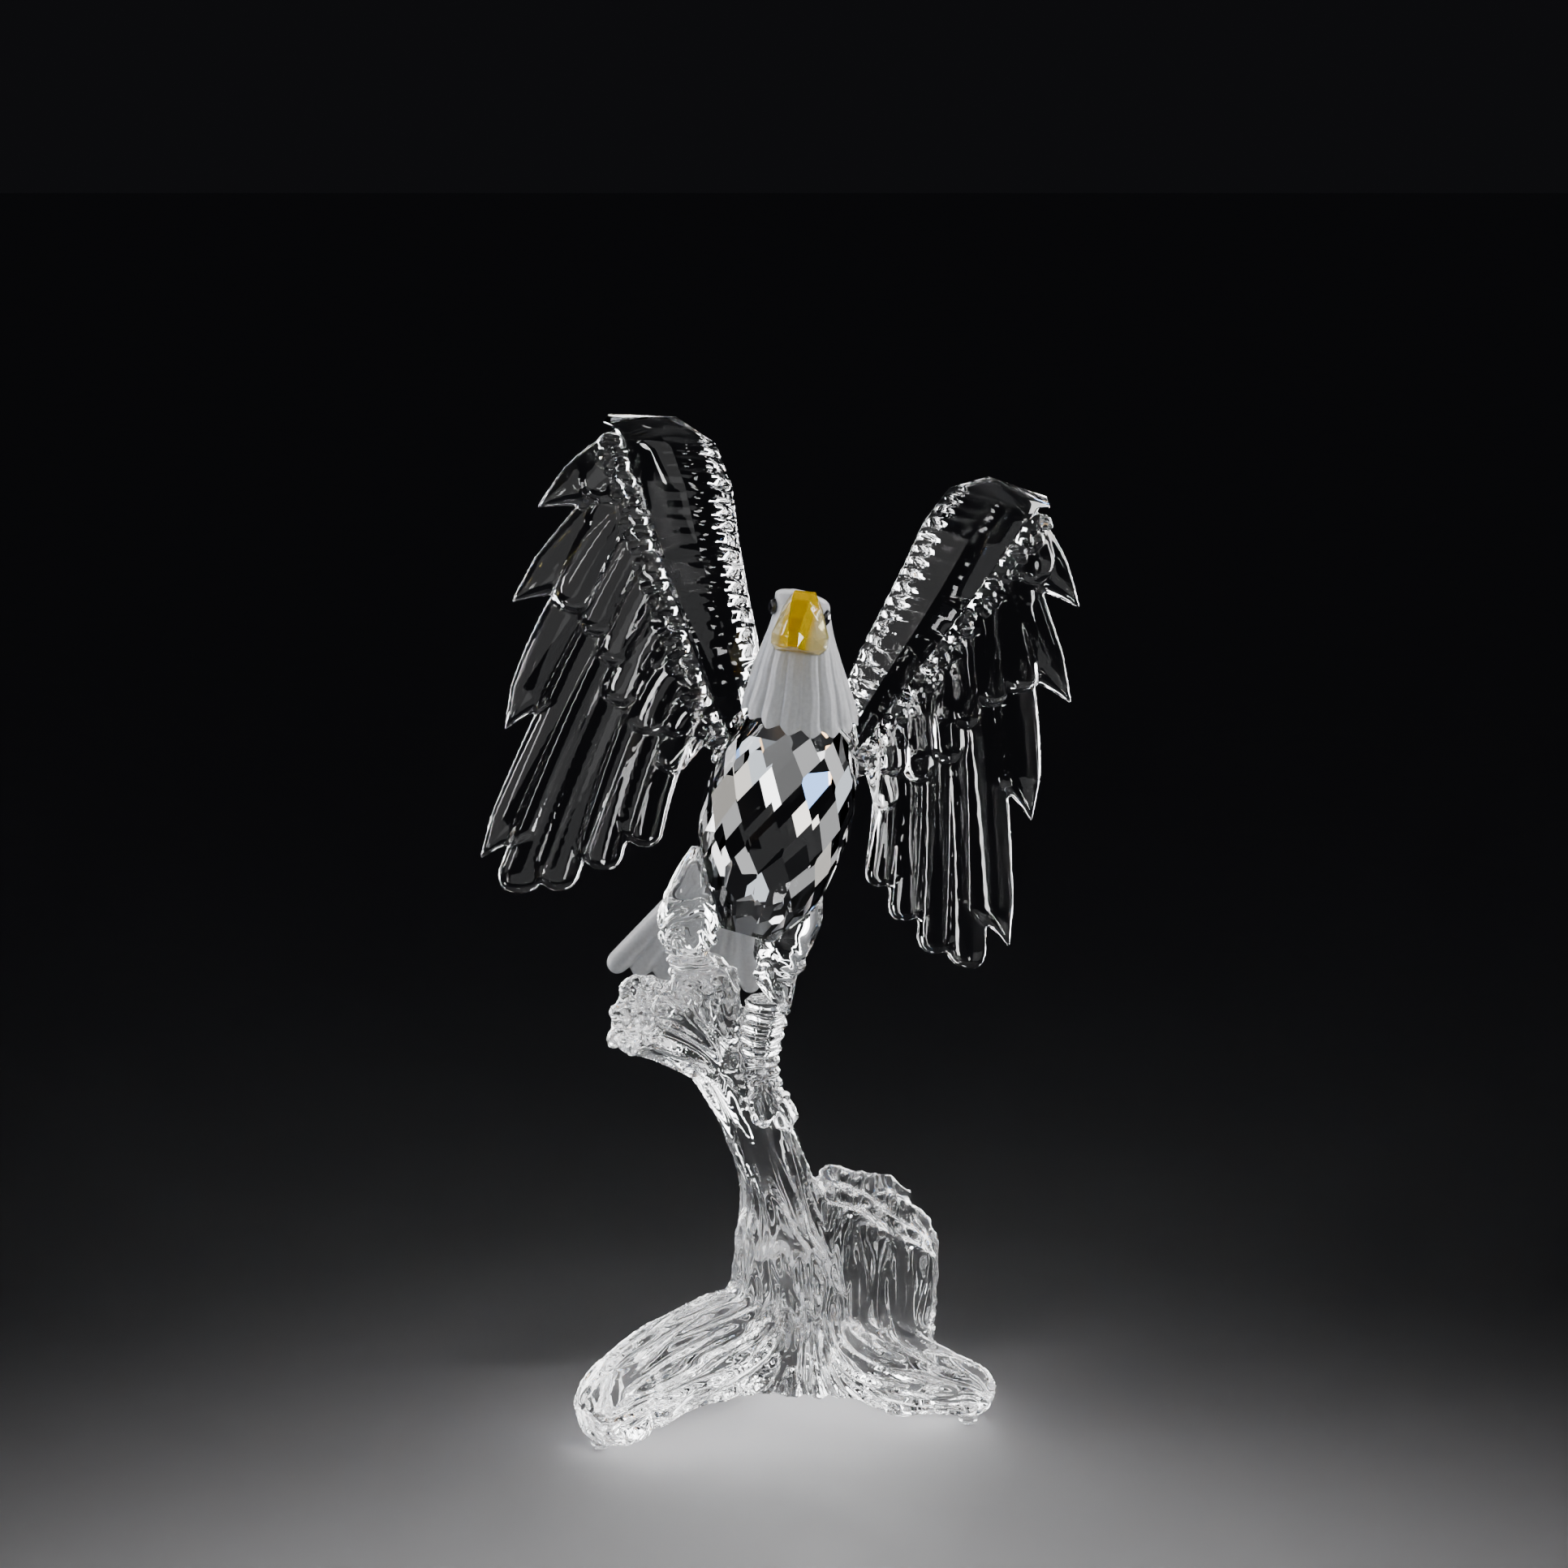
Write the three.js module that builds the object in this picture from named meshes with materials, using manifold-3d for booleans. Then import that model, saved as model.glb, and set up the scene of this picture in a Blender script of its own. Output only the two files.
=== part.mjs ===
// A crystal eagle that lands on a driftwood perch, with raised wings.
// Millimetres, +Z up, the bird faces -Y. The origin is the middle of the footprint, on the table.
import * as THREE from 'three';
import { ConvexGeometry } from 'three/addons/geometries/ConvexGeometry.js';
import { ConvexHull } from 'three/addons/math/ConvexHull.js';
import { mergeVertices } from 'three/addons/utils/BufferGeometryUtils.js';
import Module from 'manifold-3d';

const wasm = await Module();
wasm.setup();

// Glue line between two pieces of crystal
const SEAM = 0.3;

// Eagle: its middle above the table, and how it is turned and tipped on its perch, in degrees
const EAGLE_PLACE = [-1.35, 0, 134.1];
const EAGLE_YAW = 10;
const EAGLE_ROLL = 12;

// Body: a brilliant-cut egg with staggered rows of facets
const BODY_WIDTH = 30.8;
const BODY_DEPTH = 30;
const BODY_LENGTH = 55;
const BODY_ROW_PITCH = 7.2;
const BODY_FACETS_PER_ROW = 12;
const BODY_ROWS_EACH_WAY = 3;
const BODY_LEAN_BACK = 8;
const BODY_LEAN_ASIDE = 5;

// Head: a frosted hood with a fluted collar, turned a little aside
const HEAD_HEIGHT = 24.6;
const COLLAR_WIDTH = 24.4;
const COLLAR_PLACE = [0, -0.8, 21.7];
const COLLAR_FLUTES = 16;
const FLUTE_DEPTH = 0.45;
const SCALLOP_DROP = 1.1;
const HEAD_TURN = 18;
const CROWN_SHIFT = -4.4;
const EYE_DIAMETER = 3.6;
const BEAK_WIDTH = 11.6;
const BEAK_HEIGHT = 12.4;
const BEAK_LENGTH = 10.5;
const BEAK_SET = 2.5;
const BEAK_TILT = 6;

// Wings: one pressed piece each, a faceted leading edge and rows of feathers on a curved sheet
const WING_SETBACK = -8;
const WING_SWEEP = 0.85;
const WING_CURL_SPAN = 117.65;
const WING_RAKE = 0.126;
const FEATHER_THICKNESS = 3.2;
const COVERT_THICKNESS = 2.4;
const COVERT_STEP = 1.2;
const TIP_ROUNDING = 0.32;
const BAR_THICKNESS = 10.5;

// Tail: a frosted fan
const TAIL_FEATHERS = 7;
const TAIL_LENGTH = 44;
const TAIL_LEFT_EXTRA = 2.4;
const TAIL_SPREAD = 20;
const TAIL_SKEW = 3;
const TAIL_SLOPE = 25;
const TAIL_PLACE = [-4, 12, -7];
const TAIL_FEATHER_WIDTH = 7.4;
const TAIL_THICKNESS = 2.6;

// Thighs: faceted drops
const LEFT_THIGH_LENGTH = 22.6;
const LEFT_THIGH_WIDTH = 14;
const LEFT_HIP = [-16.2, -4.2, -9.4];
const LEFT_ANKLE_SHIFT = [2.6, -0.2];
const RIGHT_THIGH_LENGTH = 27;
const RIGHT_THIGH_WIDTH = 13.4;
const RIGHT_HIP = [7.4, -0.6, -12.6];
const RIGHT_ANKLE_SHIFT = [-0.6, 0];
const THIGH_SIDES = 9;

// Perch: a cast branch with flutes of grain, on three clear bumpers
const GRAIN_FLUTES = 8;
const GRAIN_DEPTH = 0.55;
const BUMPER_DIAMETER = 4.4;
const BUMPER_HEIGHT = 1.8;
const BUMPER_FLAT = 2.6;
const BUMPER_PLACES = { left: [-38.7, -15.3], right: [39.4, 0], back: [0.5, 34] };
const ARCH_RISE = 5.6;
const ARCH_HALF = [30, 30];
const ARCH_PLACE = [-8, 0];
const GROUND_SPAN = 140;
const GROUND_DEPTH = 40;

const crystal = { color: 0xe9eff3, roughness: 0.05, metalness: 0 };
const frosted = { color: 0xdde3e8, roughness: 0.6, metalness: 0 };
const amber = { color: 0xf2b705, roughness: 0.08, metalness: 0 };
const jet = { color: 0x08080a, roughness: 0.1, metalness: 0 };
const clearRubber = { color: 0xd8dcdf, roughness: 0.35, metalness: 0 };

const radians = THREE.MathUtils.degToRad;
const lerp = THREE.MathUtils.lerp;
const vector = (x, y, z) => new THREE.Vector3(x, y, z);

// Solids

function outward(positions, index) {
  let volume = 0;
  const corner = (i) => vector(...positions.slice(3 * i, 3 * i + 3));
  for (let i = 0; i < index.length; i += 3) {
    volume += corner(index[i]).dot(corner(index[i + 1]).cross(corner(index[i + 2])));
  }
  if (volume > 0) return index;
  return index.map((value, i) => index[i - (i % 3) + [0, 2, 1][i % 3]]);
}

function solid(geometry) {
  const bare = new THREE.BufferGeometry();
  bare.setAttribute('position', geometry.getAttribute('position').clone());
  bare.setIndex(geometry.index);
  const merged = mergeVertices(bare, 1e-4);
  const positions = Array.from(merged.getAttribute('position').array);
  const index = [];
  for (let i = 0; i < merged.index.count; i += 3) {
    const [a, b, c] = [0, 1, 2].map((k) => merged.index.getX(i + k));
    if (a !== b && b !== c && c !== a) index.push(a, b, c);
  }
  return new wasm.Manifold(new wasm.Mesh({
    numProp: 3,
    vertProperties: new Float32Array(positions),
    triVerts: new Uint32Array(outward(positions, index)),
  }));
}

function shapeOf(manifold) {
  const mesh = manifold.getMesh();
  const geometry = new THREE.BufferGeometry();
  geometry.setAttribute('position', new THREE.BufferAttribute(mesh.vertProperties.slice(), 3));
  geometry.setIndex(new THREE.BufferAttribute(mesh.triVerts.slice(), 1));
  return geometry;
}

function joined(geometries) {
  return geometries.map(solid).reduce((whole, next) => whole.add(next));
}

// A closed skin over rings of points that each have the same count, with a fan at either end
function loft(rings) {
  const count = rings[0].length;
  const middle = (ring) => ring.reduce((sum, point) => sum.add(point), vector(0, 0, 0)).divideScalar(count);
  const points = [...rings.flat(), middle(rings[0]), middle(rings.at(-1))];
  const index = [];
  for (let k = 0; k < count; k += 1) {
    const next = (k + 1) % count;
    for (let row = 0; row < rings.length - 1; row += 1) {
      const [a, b] = [row * count + k, row * count + next];
      index.push(a, b, a + count, b, b + count, a + count);
    }
    const top = (rings.length - 1) * count;
    index.push(points.length - 2, next, k, points.length - 1, top + k, top + next);
  }
  const geometry = new THREE.BufferGeometry().setFromPoints(points);
  geometry.setIndex(index);
  return geometry;
}

function named(name, geometry, material) {
  const flat = geometry.index ? geometry.toNonIndexed() : geometry;
  flat.computeVertexNormals();
  const mesh = new THREE.Mesh(flat, new THREE.MeshStandardMaterial({ ...material, flatShading: true }));
  mesh.name = name;
  return mesh;
}

// A value read from a list of [place, value] pairs, straight between them
function along(pairs, t) {
  const last = pairs.length - 1;
  const i = Math.min(Math.max(pairs.findIndex(([place]) => place >= t), 1), last);
  const [[a, from], [b, to]] = [pairs[i - 1], pairs[i]];
  return lerp(from, to, THREE.MathUtils.clamp((t - a) / (b - a), 0, 1));
}

// Body

// The planes that touch an egg at staggered points, each as its normal and its distance from the middle
function bodyPlanes(grow) {
  const half = [BODY_WIDTH / 2, BODY_DEPTH / 2, BODY_LENGTH / 2];
  const planes = [];
  for (let row = -BODY_ROWS_EACH_WAY; row <= BODY_ROWS_EACH_WAY; row += 1) {
    const height = row * BODY_ROW_PITCH / half[2];
    const girth = Math.sqrt(1 - height * height);
    for (let k = 0; k < BODY_FACETS_PER_ROW; k += 1) {
      const angle = (k + (Math.abs(row) % 2) / 2) * 2 * Math.PI / BODY_FACETS_PER_ROW;
      const on = [girth * Math.cos(angle), girth * Math.sin(angle), height];
      const normal = vector(on[0] / half[0], on[1] / half[1], on[2] / half[2]).normalize();
      const distance = normal.x * on[0] * half[0] + normal.y * on[1] * half[1] + normal.z * on[2] * half[2];
      planes.push({ normal, distance: distance + grow });
    }
  }
  for (const end of [-1, 1]) {
    planes.push({ normal: vector(0, 0, end), distance: half[2] * 0.955 + grow });
  }
  return planes;
}

// The solid inside a set of planes: each face of the hull of their duals is one corner of it
function cutGem(planes) {
  const duals = planes.map(({ normal, distance }) => normal.clone().divideScalar(distance));
  const hull = new ConvexHull().setFromPoints(duals);
  const corners = hull.faces.map((face) => face.normal.clone().divideScalar(face.constant));
  const seen = [];
  for (const corner of corners) {
    if (!seen.some((other) => other.distanceTo(corner) < 0.02)) seen.push(corner);
  }
  return new ConvexGeometry(seen);
}

function bodyGeometry(grow = 0) {
  return cutGem(bodyPlanes(grow)).rotateX(-radians(BODY_LEAN_BACK)).rotateY(radians(BODY_LEAN_ASIDE));
}

const bodyCutter = solid(bodyGeometry(SEAM));

// Head

// Rings of the hood: height, half width, front and back depth, and how far the front edge dips
const HOOD = [
  [0.04, 0.72, 0.72, 0.72, 0.25],
  [0.00, 1.00, 1.05, 0.95, 0.25],
  [0.13, 0.93, 0.98, 0.90, 0.22],
  [0.47, 0.70, 0.79, 0.77, 0.00],
  [0.68, 0.56, 0.74, 0.75, -0.12],
  [0.86, 0.47, 0.70, 0.72, -0.20],
  [0.96, 0.38, 0.60, 0.58, -0.20],
  [1.00, 0.20, 0.32, 0.30, -0.20],
];

function headPoint(grow, share, angle, wide, front, back, dip) {
  const half = COLLAR_WIDTH / 2;
  const fade = Math.max(0, 1 - share * 1.5);
  const wave = Math.cos(angle * COLLAR_FLUTES);
  const swell = FLUTE_DEPTH * wave * fade + grow;
  const x = (wide * half + swell) * Math.cos(angle);
  const y = ((Math.sin(angle) < 0 ? front : back) * half + swell) * Math.sin(angle);
  const rim = share < 0.01 ? SCALLOP_DROP * (wave - 1) / -2 : 0;
  const rise = grow * (share < 0.1 ? -1 : 1);
  return vector(x + CROWN_SHIFT * share, y, share * HEAD_HEIGHT + dip * y + rim + rise);
}

function hoodGeometry(grow = 0) {
  const steps = COLLAR_FLUTES * 2;
  const rings = HOOD.map(([share, ...sizes]) => {
    const ring = [];
    for (let k = 0; k < steps; k += 1) ring.push(headPoint(grow, share, k * 2 * Math.PI / steps, ...sizes));
    return ring;
  });
  return loft(rings);
}

// Brow ridges overhang the eyes at the front corners of the crown
function browGeometry(side) {
  const half = COLLAR_WIDTH / 2;
  const brow = new THREE.SphereGeometry(1, 8, 5).scale(1.3, 3.4, 1.1);
  const x = CROWN_SHIFT * 0.86 + side * half * 0.4;
  return brow.translate(x, -half * 0.38, HEAD_HEIGHT * 0.93);
}

function beakPlace() {
  return vector(CROWN_SHIFT * 0.62, -COLLAR_WIDTH * 0.335, HEAD_HEIGHT * 0.79);
}

// The beak is cut like a gem: a tapered base, a broad culmen and a blunt tip
function beakGeometry(grow = 0) {
  const [w, h, l] = [BEAK_WIDTH / 2, BEAK_HEIGHT / 2, BEAK_LENGTH];
  const stations = [
    [BEAK_SET, [[0.36, 1.0], [0.66, 0.45], [1.0, -0.45], [1.0, -0.8], [0.78, -1.0]]],
    [0, [[0.36, 1.0], [0.66, 0.45], [1.0, -0.45], [1.0, -0.8], [0.78, -1.0]]],
    [-l * 0.5, [[0.32, 0.84], [0.52, 0.25], [0.66, -0.4], [0.56, -0.8]]],
    [-l * 0.85, [[0.25, 0.3], [0.34, -0.3], [0.26, -0.72]]],
    [-l, [[0.18, -0.12], [0.18, -0.62]]],
  ];
  const points = [];
  for (const [y, outline] of stations) {
    for (const [x, z] of outline) {
      for (const side of [-1, 1]) {
        points.push(vector(side * (x * w + grow), y - grow * Math.sign(-y), z * h + grow * Math.sign(z)));
      }
    }
  }
  const place = beakPlace();
  return new ConvexGeometry(points).rotateY(-radians(BEAK_TILT)).translate(place.x, place.y, place.z);
}

// The eyes sit just behind the beak's set-in base, at the sides of the crown
function eyePlace(side) {
  const y = beakPlace().y + BEAK_SET + EYE_DIAMETER * 0.424;
  return vector(CROWN_SHIFT * 0.88 + side * COLLAR_WIDTH * 0.2275, y, HEAD_HEIGHT * 0.85);
}

function eyeGeometry(side, grow = 0) {
  const radius = EYE_DIAMETER / 2 + grow;
  const bead = new THREE.SphereGeometry(radius, 10, 5).scale(0.62, 0.8, 1);
  const place = eyePlace(side);
  return bead.translate(place.x, place.y, place.z);
}

// From the head's own axes to the eagle's: the hood is turned about the neck
const headPose = new THREE.Matrix4().compose(
  vector(...COLLAR_PLACE),
  new THREE.Quaternion().setFromEuler(new THREE.Euler(0, 0, -radians(HEAD_TURN))),
  vector(1, 1, 1),
);

function inEagle(geometry) {
  return geometry.applyMatrix4(headPose);
}

function headGeometry() {
  let head = joined([inEagle(hoodGeometry()), inEagle(browGeometry(-1)), inEagle(browGeometry(1))]);
  head = head.subtract(bodyCutter).subtract(solid(inEagle(beakGeometry(SEAM))));
  for (const side of [-1, 1]) head = head.subtract(solid(inEagle(eyeGeometry(side, SEAM))));
  return shapeOf(largest(head));
}

// The biggest connected piece of a solid
function largest(manifold) {
  return manifold.decompose().reduce((best, next) => (next.volume() > best.volume() ? next : best));
}

// Wings, drawn on a sheet: out from the body, back, and up

function sheetDepth(out, up) {
  return WING_SETBACK + WING_SWEEP * out - out * out / WING_CURL_SPAN + WING_RAKE * up;
}

function onSheet(side, out, up, back) {
  return vector(side * out, sheetDepth(out, up) + back, up);
}

// A feather: root, bend and tip on the sheet, its full width, and how far its tip leans to the outer edge
const FLIGHT_FEATHERS = [
  [[40, 68], [50, 59], [55.6, 48.8], 12, 0.75],
  [[38, 62], [48.9, 46.3], [57.4, 29], 12, 0.75],
  [[36, 56], [52, 30.4], [53.6, 4.5], 11, 0.75],
  [[34, 50], [46.4, 15], [54.3, -23.2], 10.2, 0.75],
  [[31, 45], [42, 12], [49.6, -28.6], 9.6, 0.4],
  [[28, 40], [37, 10], [42.1, -26.4], 9.4, 0],
  [[24, 34], [31.5, 8], [33.6, -20.4], 9, 0],
  [[19, 27], [26.4, 8], [26, -13.6], 8.4, 0],
];
const GREAT_COVERTS = [
  [[42, 55], [48, 44], [49, 31.8], 9, 0],
  [[37, 50], [43, 39], [43.3, 28], 9, 0],
  [[32, 45], [38.5, 34], [38.4, 22.5], 8.6, 0],
  [[27, 38], [34.5, 27], [36.5, 14.8], 8.4, 0],
  [[22, 32], [29, 22], [30.5, 10.2], 8, 0],
  [[17, 25], [23, 18], [24.2, 10.8], 7, 0],
];
const LESSER_COVERTS = [
  [[42, 66], [47, 62], [48.5, 55], 6.4, 0],
  [[39, 59], [44.5, 54], [45.5, 46.5], 6.4, 0],
  [[35, 52], [41, 47], [41.8, 39.5], 6.2, 0],
  [[30, 45], [36, 39], [37, 31.5], 6.2, 0],
  [[25, 37], [31, 31], [32, 23.5], 6, 0],
  [[20, 29], [25, 23], [26, 16.5], 5.6, 0],
];
const TERTIALS = [[[15.5, 20], [20, 13], [24.4, 3.6], 6.2, 0.4]];

// A feather is a flat lens with a ridge down the middle of each face, and a covert's edges are thin
const FLIGHT_SECTION = [[-1, -0.3], [0, -1], [1, -0.3], [1, 0.3], [0, 1], [-1, 0.3]];
const COVERT_SECTION = [[-1, 0], [0, -1], [1, 0], [0, 1]];

function featherGeometry(side, [root, bend, tip, width, lean], section, thickness, forward) {
  const curve = new THREE.QuadraticBezierCurve(
    new THREE.Vector2(...root), new THREE.Vector2(...bend), new THREE.Vector2(...tip),
  );
  const round = Math.min(0.4, width * TIP_ROUNDING / curve.getLength());
  const stations = [[0, 0.7], [0.4, 1], [1 - round, 0.96], [1, 0.3]];
  const rings = stations.map(([t, share]) => {
    const at = curve.getPoint(t);
    const run = curve.getTangent(t);
    return section.map(([across, through]) => {
      const shift = (across * share + lean * (1 - share)) * width / 2;
      const back = through * thickness / 2 * lerp(1, 0.45, t * t);
      return onSheet(side, at.x - run.y * shift, at.y + run.x * shift, back - forward);
    });
  });
  return loft(rings);
}

// The leading edge: its outer line, its inner line and its share of the full thickness
const BAR_STATIONS = [
  [[11, 10], [3.5, 14], 0.55],
  [[14.5, 15], [7.5, 20], 0.7],
  [[18, 20], [9, 28], 0.8],
  [[22.5, 27.5], [11, 35], 0.92],
  [[29.5, 39.5], [14.3, 43.5], 1],
  [[35.5, 50], [17.8, 53.5], 1],
  [[40.8, 60.3], [20.8, 63.5], 0.95],
  [[44.2, 67], [25.5, 71.5], 0.8],
  [[46.3, 70.2], [34, 75], 0.55],
  [[48.9, 70.8], [47.8, 72.9], 0.12],
];
// Its section: across from the outer line, and through, as shares
const BAR_SECTION = [
  [0, 0.2], [0, -0.22], [0.08, -0.5], [0.5, -0.56], [1, -0.05], [0.86, 0.42], [0.3, 0.44],
];

function barGeometry(side) {
  const rings = BAR_STATIONS.map(([outer, inner, share]) => BAR_SECTION.map(([across, through]) => {
    const out = lerp(outer[0], inner[0], across);
    const up = lerp(outer[1], inner[1], across);
    return onSheet(side, out, up, through * share * BAR_THICKNESS);
  }));
  return loft(rings);
}

function wingGeometry(side) {
  const pieces = [barGeometry(side)];
  const covert = (feather, layer) => featherGeometry(
    side, feather, COVERT_SECTION, COVERT_THICKNESS, layer * COVERT_STEP,
  );
  for (const feather of FLIGHT_FEATHERS) {
    pieces.push(featherGeometry(side, feather, FLIGHT_SECTION, FEATHER_THICKNESS, 0));
  }
  for (const feather of GREAT_COVERTS) pieces.push(covert(feather, 1));
  for (const feather of [...LESSER_COVERTS, ...TERTIALS]) pieces.push(covert(feather, 2));
  return joined(pieces).subtract(bodyCutter).subtract(solid(inEagle(hoodGeometry(SEAM))));
}

// Tail

function tailGeometry() {
  const place = vector(...TAIL_PLACE);
  const down = vector(0, Math.sin(radians(TAIL_SLOPE)), -Math.cos(radians(TAIL_SLOPE)));
  const through = vector(0, Math.cos(radians(TAIL_SLOPE)), Math.sin(radians(TAIL_SLOPE)));
  const section = [[-1, -0.3], [0, -1], [1, -0.3], [1, 0.3], [0, 1], [-1, 0.3]];
  const stations = [[-0.1, 0.42], [0.55, 0.86], [0.93, 1], [1, 0.5]];
  const feathers = [];
  for (let k = 0; k < TAIL_FEATHERS; k += 1) {
    const turn = radians(lerp(-TAIL_SPREAD, TAIL_SPREAD, k / (TAIL_FEATHERS - 1)) - TAIL_SKEW);
    const run = down.clone().multiplyScalar(Math.cos(turn)).add(vector(Math.sin(turn), 0, 0));
    const wide = vector(Math.cos(turn), 0, 0).addScaledVector(down, -Math.sin(turn));
    const aside = k / (TAIL_FEATHERS - 1) * 2 - 1;
    const reach = TAIL_LENGTH * lerp(0.92, 1, Math.abs(aside)) + TAIL_LEFT_EXTRA * (1 - aside) / 2;
    const layer = (k % 2) * 0.5;
    feathers.push(loft(stations.map(([t, share]) => section.map(([across, deep]) => place.clone()
      .addScaledVector(run, t * reach)
      .addScaledVector(wide, across * share * TAIL_FEATHER_WIDTH / 2)
      .addScaledVector(through, deep * TAIL_THICKNESS / 2 + layer)))));
  }
  return joined(feathers).subtract(bodyCutter);
}

// Thighs

// A drop: rings of flat sides from the hip to the ankle, each with its share of the width
function dropGeometry(hip, ankle, width, profile, slant, grow) {
  const axis = ankle.clone().sub(hip);
  const side = vector(0, -1, 0).cross(axis).normalize();
  const front = axis.clone().cross(side).normalize();
  const rings = profile.map(([t, share]) => {
    const ring = [];
    for (let k = 0; k < THIGH_SIDES; k += 1) {
      const angle = (k + 0.5) * 2 * Math.PI / THIGH_SIDES;
      const radius = share * width / 2 + grow;
      const stretch = t > 0.99 ? slant * Math.cos(angle) * share * width / 2 + grow : 0;
      ring.push(hip.clone().addScaledVector(axis, t - (t === 0 ? grow / axis.length() : 0))
        .addScaledVector(axis, stretch / axis.length())
        .addScaledVector(side, radius * Math.cos(angle))
        .addScaledVector(front, radius * 0.86 * Math.sin(angle)));
    }
    return ring;
  });
  return loft(rings);
}

const LEFT_DROP = [[0, 0.16], [0.22, 0.55], [0.5, 0.9], [0.72, 1], [0.88, 0.9], [1, 0.66]];
const RIGHT_DROP = [[0, 0.8], [0.3, 1], [0.62, 0.92], [0.86, 0.78], [1, 0.66]];

function leftThighGeometry(grow = 0) {
  const hip = vector(...LEFT_HIP);
  const ankle = hip.clone().add(vector(...LEFT_ANKLE_SHIFT, -LEFT_THIGH_LENGTH));
  return dropGeometry(hip, ankle, LEFT_THIGH_WIDTH, LEFT_DROP, 0, grow);
}

function rightThighGeometry(grow = 0) {
  const hip = vector(...RIGHT_HIP);
  const ankle = hip.clone().add(vector(...RIGHT_ANKLE_SHIFT, -RIGHT_THIGH_LENGTH));
  return dropGeometry(hip, ankle, RIGHT_THIGH_WIDTH, RIGHT_DROP, 0.75, grow);
}

// Perch

// A limb of wood along a curve: each point is a place and a radius, and the flutes turn slowly about it
function limbGeometry(points, steps, twist = 0.8, flutes = GRAIN_FLUTES, depth = GRAIN_DEPTH) {
  const curve = new THREE.CatmullRomCurve3(points.map(([x, y, z]) => vector(x, y, z)));
  const frames = curve.computeFrenetFrames(steps, false);
  const last = points.length - 1;
  const rings = [];
  for (let i = 0; i <= steps; i += 1) {
    const t = i / steps;
    const u = curve.getUtoTmapping(t) * last;
    const from = Math.min(Math.floor(u), last - 1);
    const radius = lerp(points[from][3], points[from + 1][3], u - from);
    const ring = [];
    for (let k = 0; k < flutes * 2; k += 1) {
      const angle = (k / (flutes * 2) + twist * t / flutes) * 2 * Math.PI;
      const reach = radius + (k % 2 ? depth : -depth) * Math.min(1, radius / 6);
      ring.push(curve.getPointAt(t)
        .addScaledVector(frames.normals[i], reach * Math.cos(angle))
        .addScaledVector(frames.binormals[i], reach * Math.sin(angle)));
    }
    rings.push(ring);
  }
  return loft(rings);
}

const TRUNK = [
  [3, 13, -2, 18], [2, 13, 12, 16], [1.4, 13, 24, 13.6], [0.2, 12.5, 34, 10.8],
  [-1, 11.5, 47.7, 8], [-4, 9.5, 58.3, 7.3], [-7.9, 7.5, 68.4, 6.8], [-11.9, 5, 77.3, 7.2],
  [-15.1, 3, 85, 7.2], [-16.2, -1, 92.5, 7], [-16.6, -4.5, 98.6, 6.8], [-17, -6.5, 101.8, 5.4],
];
const LEFT_ROOT = [
  [4, 13, 14, 12], [-10, 7, 14.5, 12.6], [-20, 0.5, 13, 11.6], [-29, -7.5, 10.6, 10.8],
  [-36.5, -14.5, 7.8, 9], [-41, -18, 6.2, 5.5],
];
const RIGHT_ROOT = [
  [3, 13, 10, 12], [16, 9, 9.6, 11.2], [27, 5.5, 8, 9.2], [36, 3.5, 6.6, 7],
  [41.5, 2.6, 5.8, 5.5], [44.8, 2.2, 5, 3],
];
// A web fills the fork between the trunk and the stub
const WEB = [[6, 11.5, 12, 10.8], [7, 12, 24, 9.2], [5.6, 12.2, 36, 7], [3.6, 12, 44, 5]];
const BACK_ROOT = [
  [3, 14, 11, 13], [2, 23, 8, 11], [1, 31, 6, 8.4], [0.5, 36.5, 4.8, 5.5], [0.3, 39, 4.2, 2.6],
];
const STUMP = [
  [-13, 5.5, 79.5, 6.6], [-18.5, 1.5, 85, 7.6], [-24.4, -3.5, 89.4, 8.1], [-30, -8.5, 92.6, 8.2],
];
const RIGHT_LEG = [
  [-3.1, -0.6, 94, 4.7], [-4.4, -0.4, 87.6, 4.6], [-5.2, 0.8, 80.6, 4.2], [-4.4, 1.8, 74, 4],
  [-2.4, 2.4, 69, 3.6],
];
const LEFT_LEG = [[-20.2, -7.5, 106.2, 4.4], [-18.6, -6, 100, 5.2], [-17.4, -3.4, 95, 5.4]];

// Toes: they run from the ankle over the wood and end in a talon
const TOES = [
  [[-4.6, -1.2, 77], [-5.2, -3, 71.5], [-3.8, -2.6, 66.4]],
  [[-3, -0.6, 74], [-0.8, -1, 69.6], [1.4, 0, 64.8]],
  [[-2.4, 1.6, 73], [0.6, 3, 69.5], [2, 5.4, 65.6]],
  [[-17.5, -7, 102], [-12.6, -7.2, 99.4], [-11.6, -5, 92.4]],
  [[-18.6, -8.4, 102], [-16, -11.2, 98.6], [-15.6, -9.6, 92]],
  [[-20, -8.4, 102], [-21.6, -11.2, 98.6], [-22, -9.6, 93]],
];
const TOE_WIDTH = 5;

function toeGeometry(points) {
  const curve = new THREE.CatmullRomCurve3(points.map((point) => vector(...point)));
  const steps = 6;
  const frames = curve.computeFrenetFrames(steps, false);
  const rings = [];
  for (let i = 0; i <= steps; i += 1) {
    const knuckle = i % 2 ? 1 : 0.82;
    const radius = TOE_WIDTH / 2 * knuckle * along([[0, 1], [0.75, 0.9], [1, 0.3]], i / steps);
    const ring = [];
    for (let k = 0; k < 6; k += 1) {
      const angle = k * Math.PI / 3;
      ring.push(curve.getPointAt(i / steps)
        .addScaledVector(frames.normals[i], radius * Math.cos(angle))
        .addScaledVector(frames.binormals[i], radius * Math.sin(angle)));
    }
    rings.push(ring);
  }
  return loft(rings);
}

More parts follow.
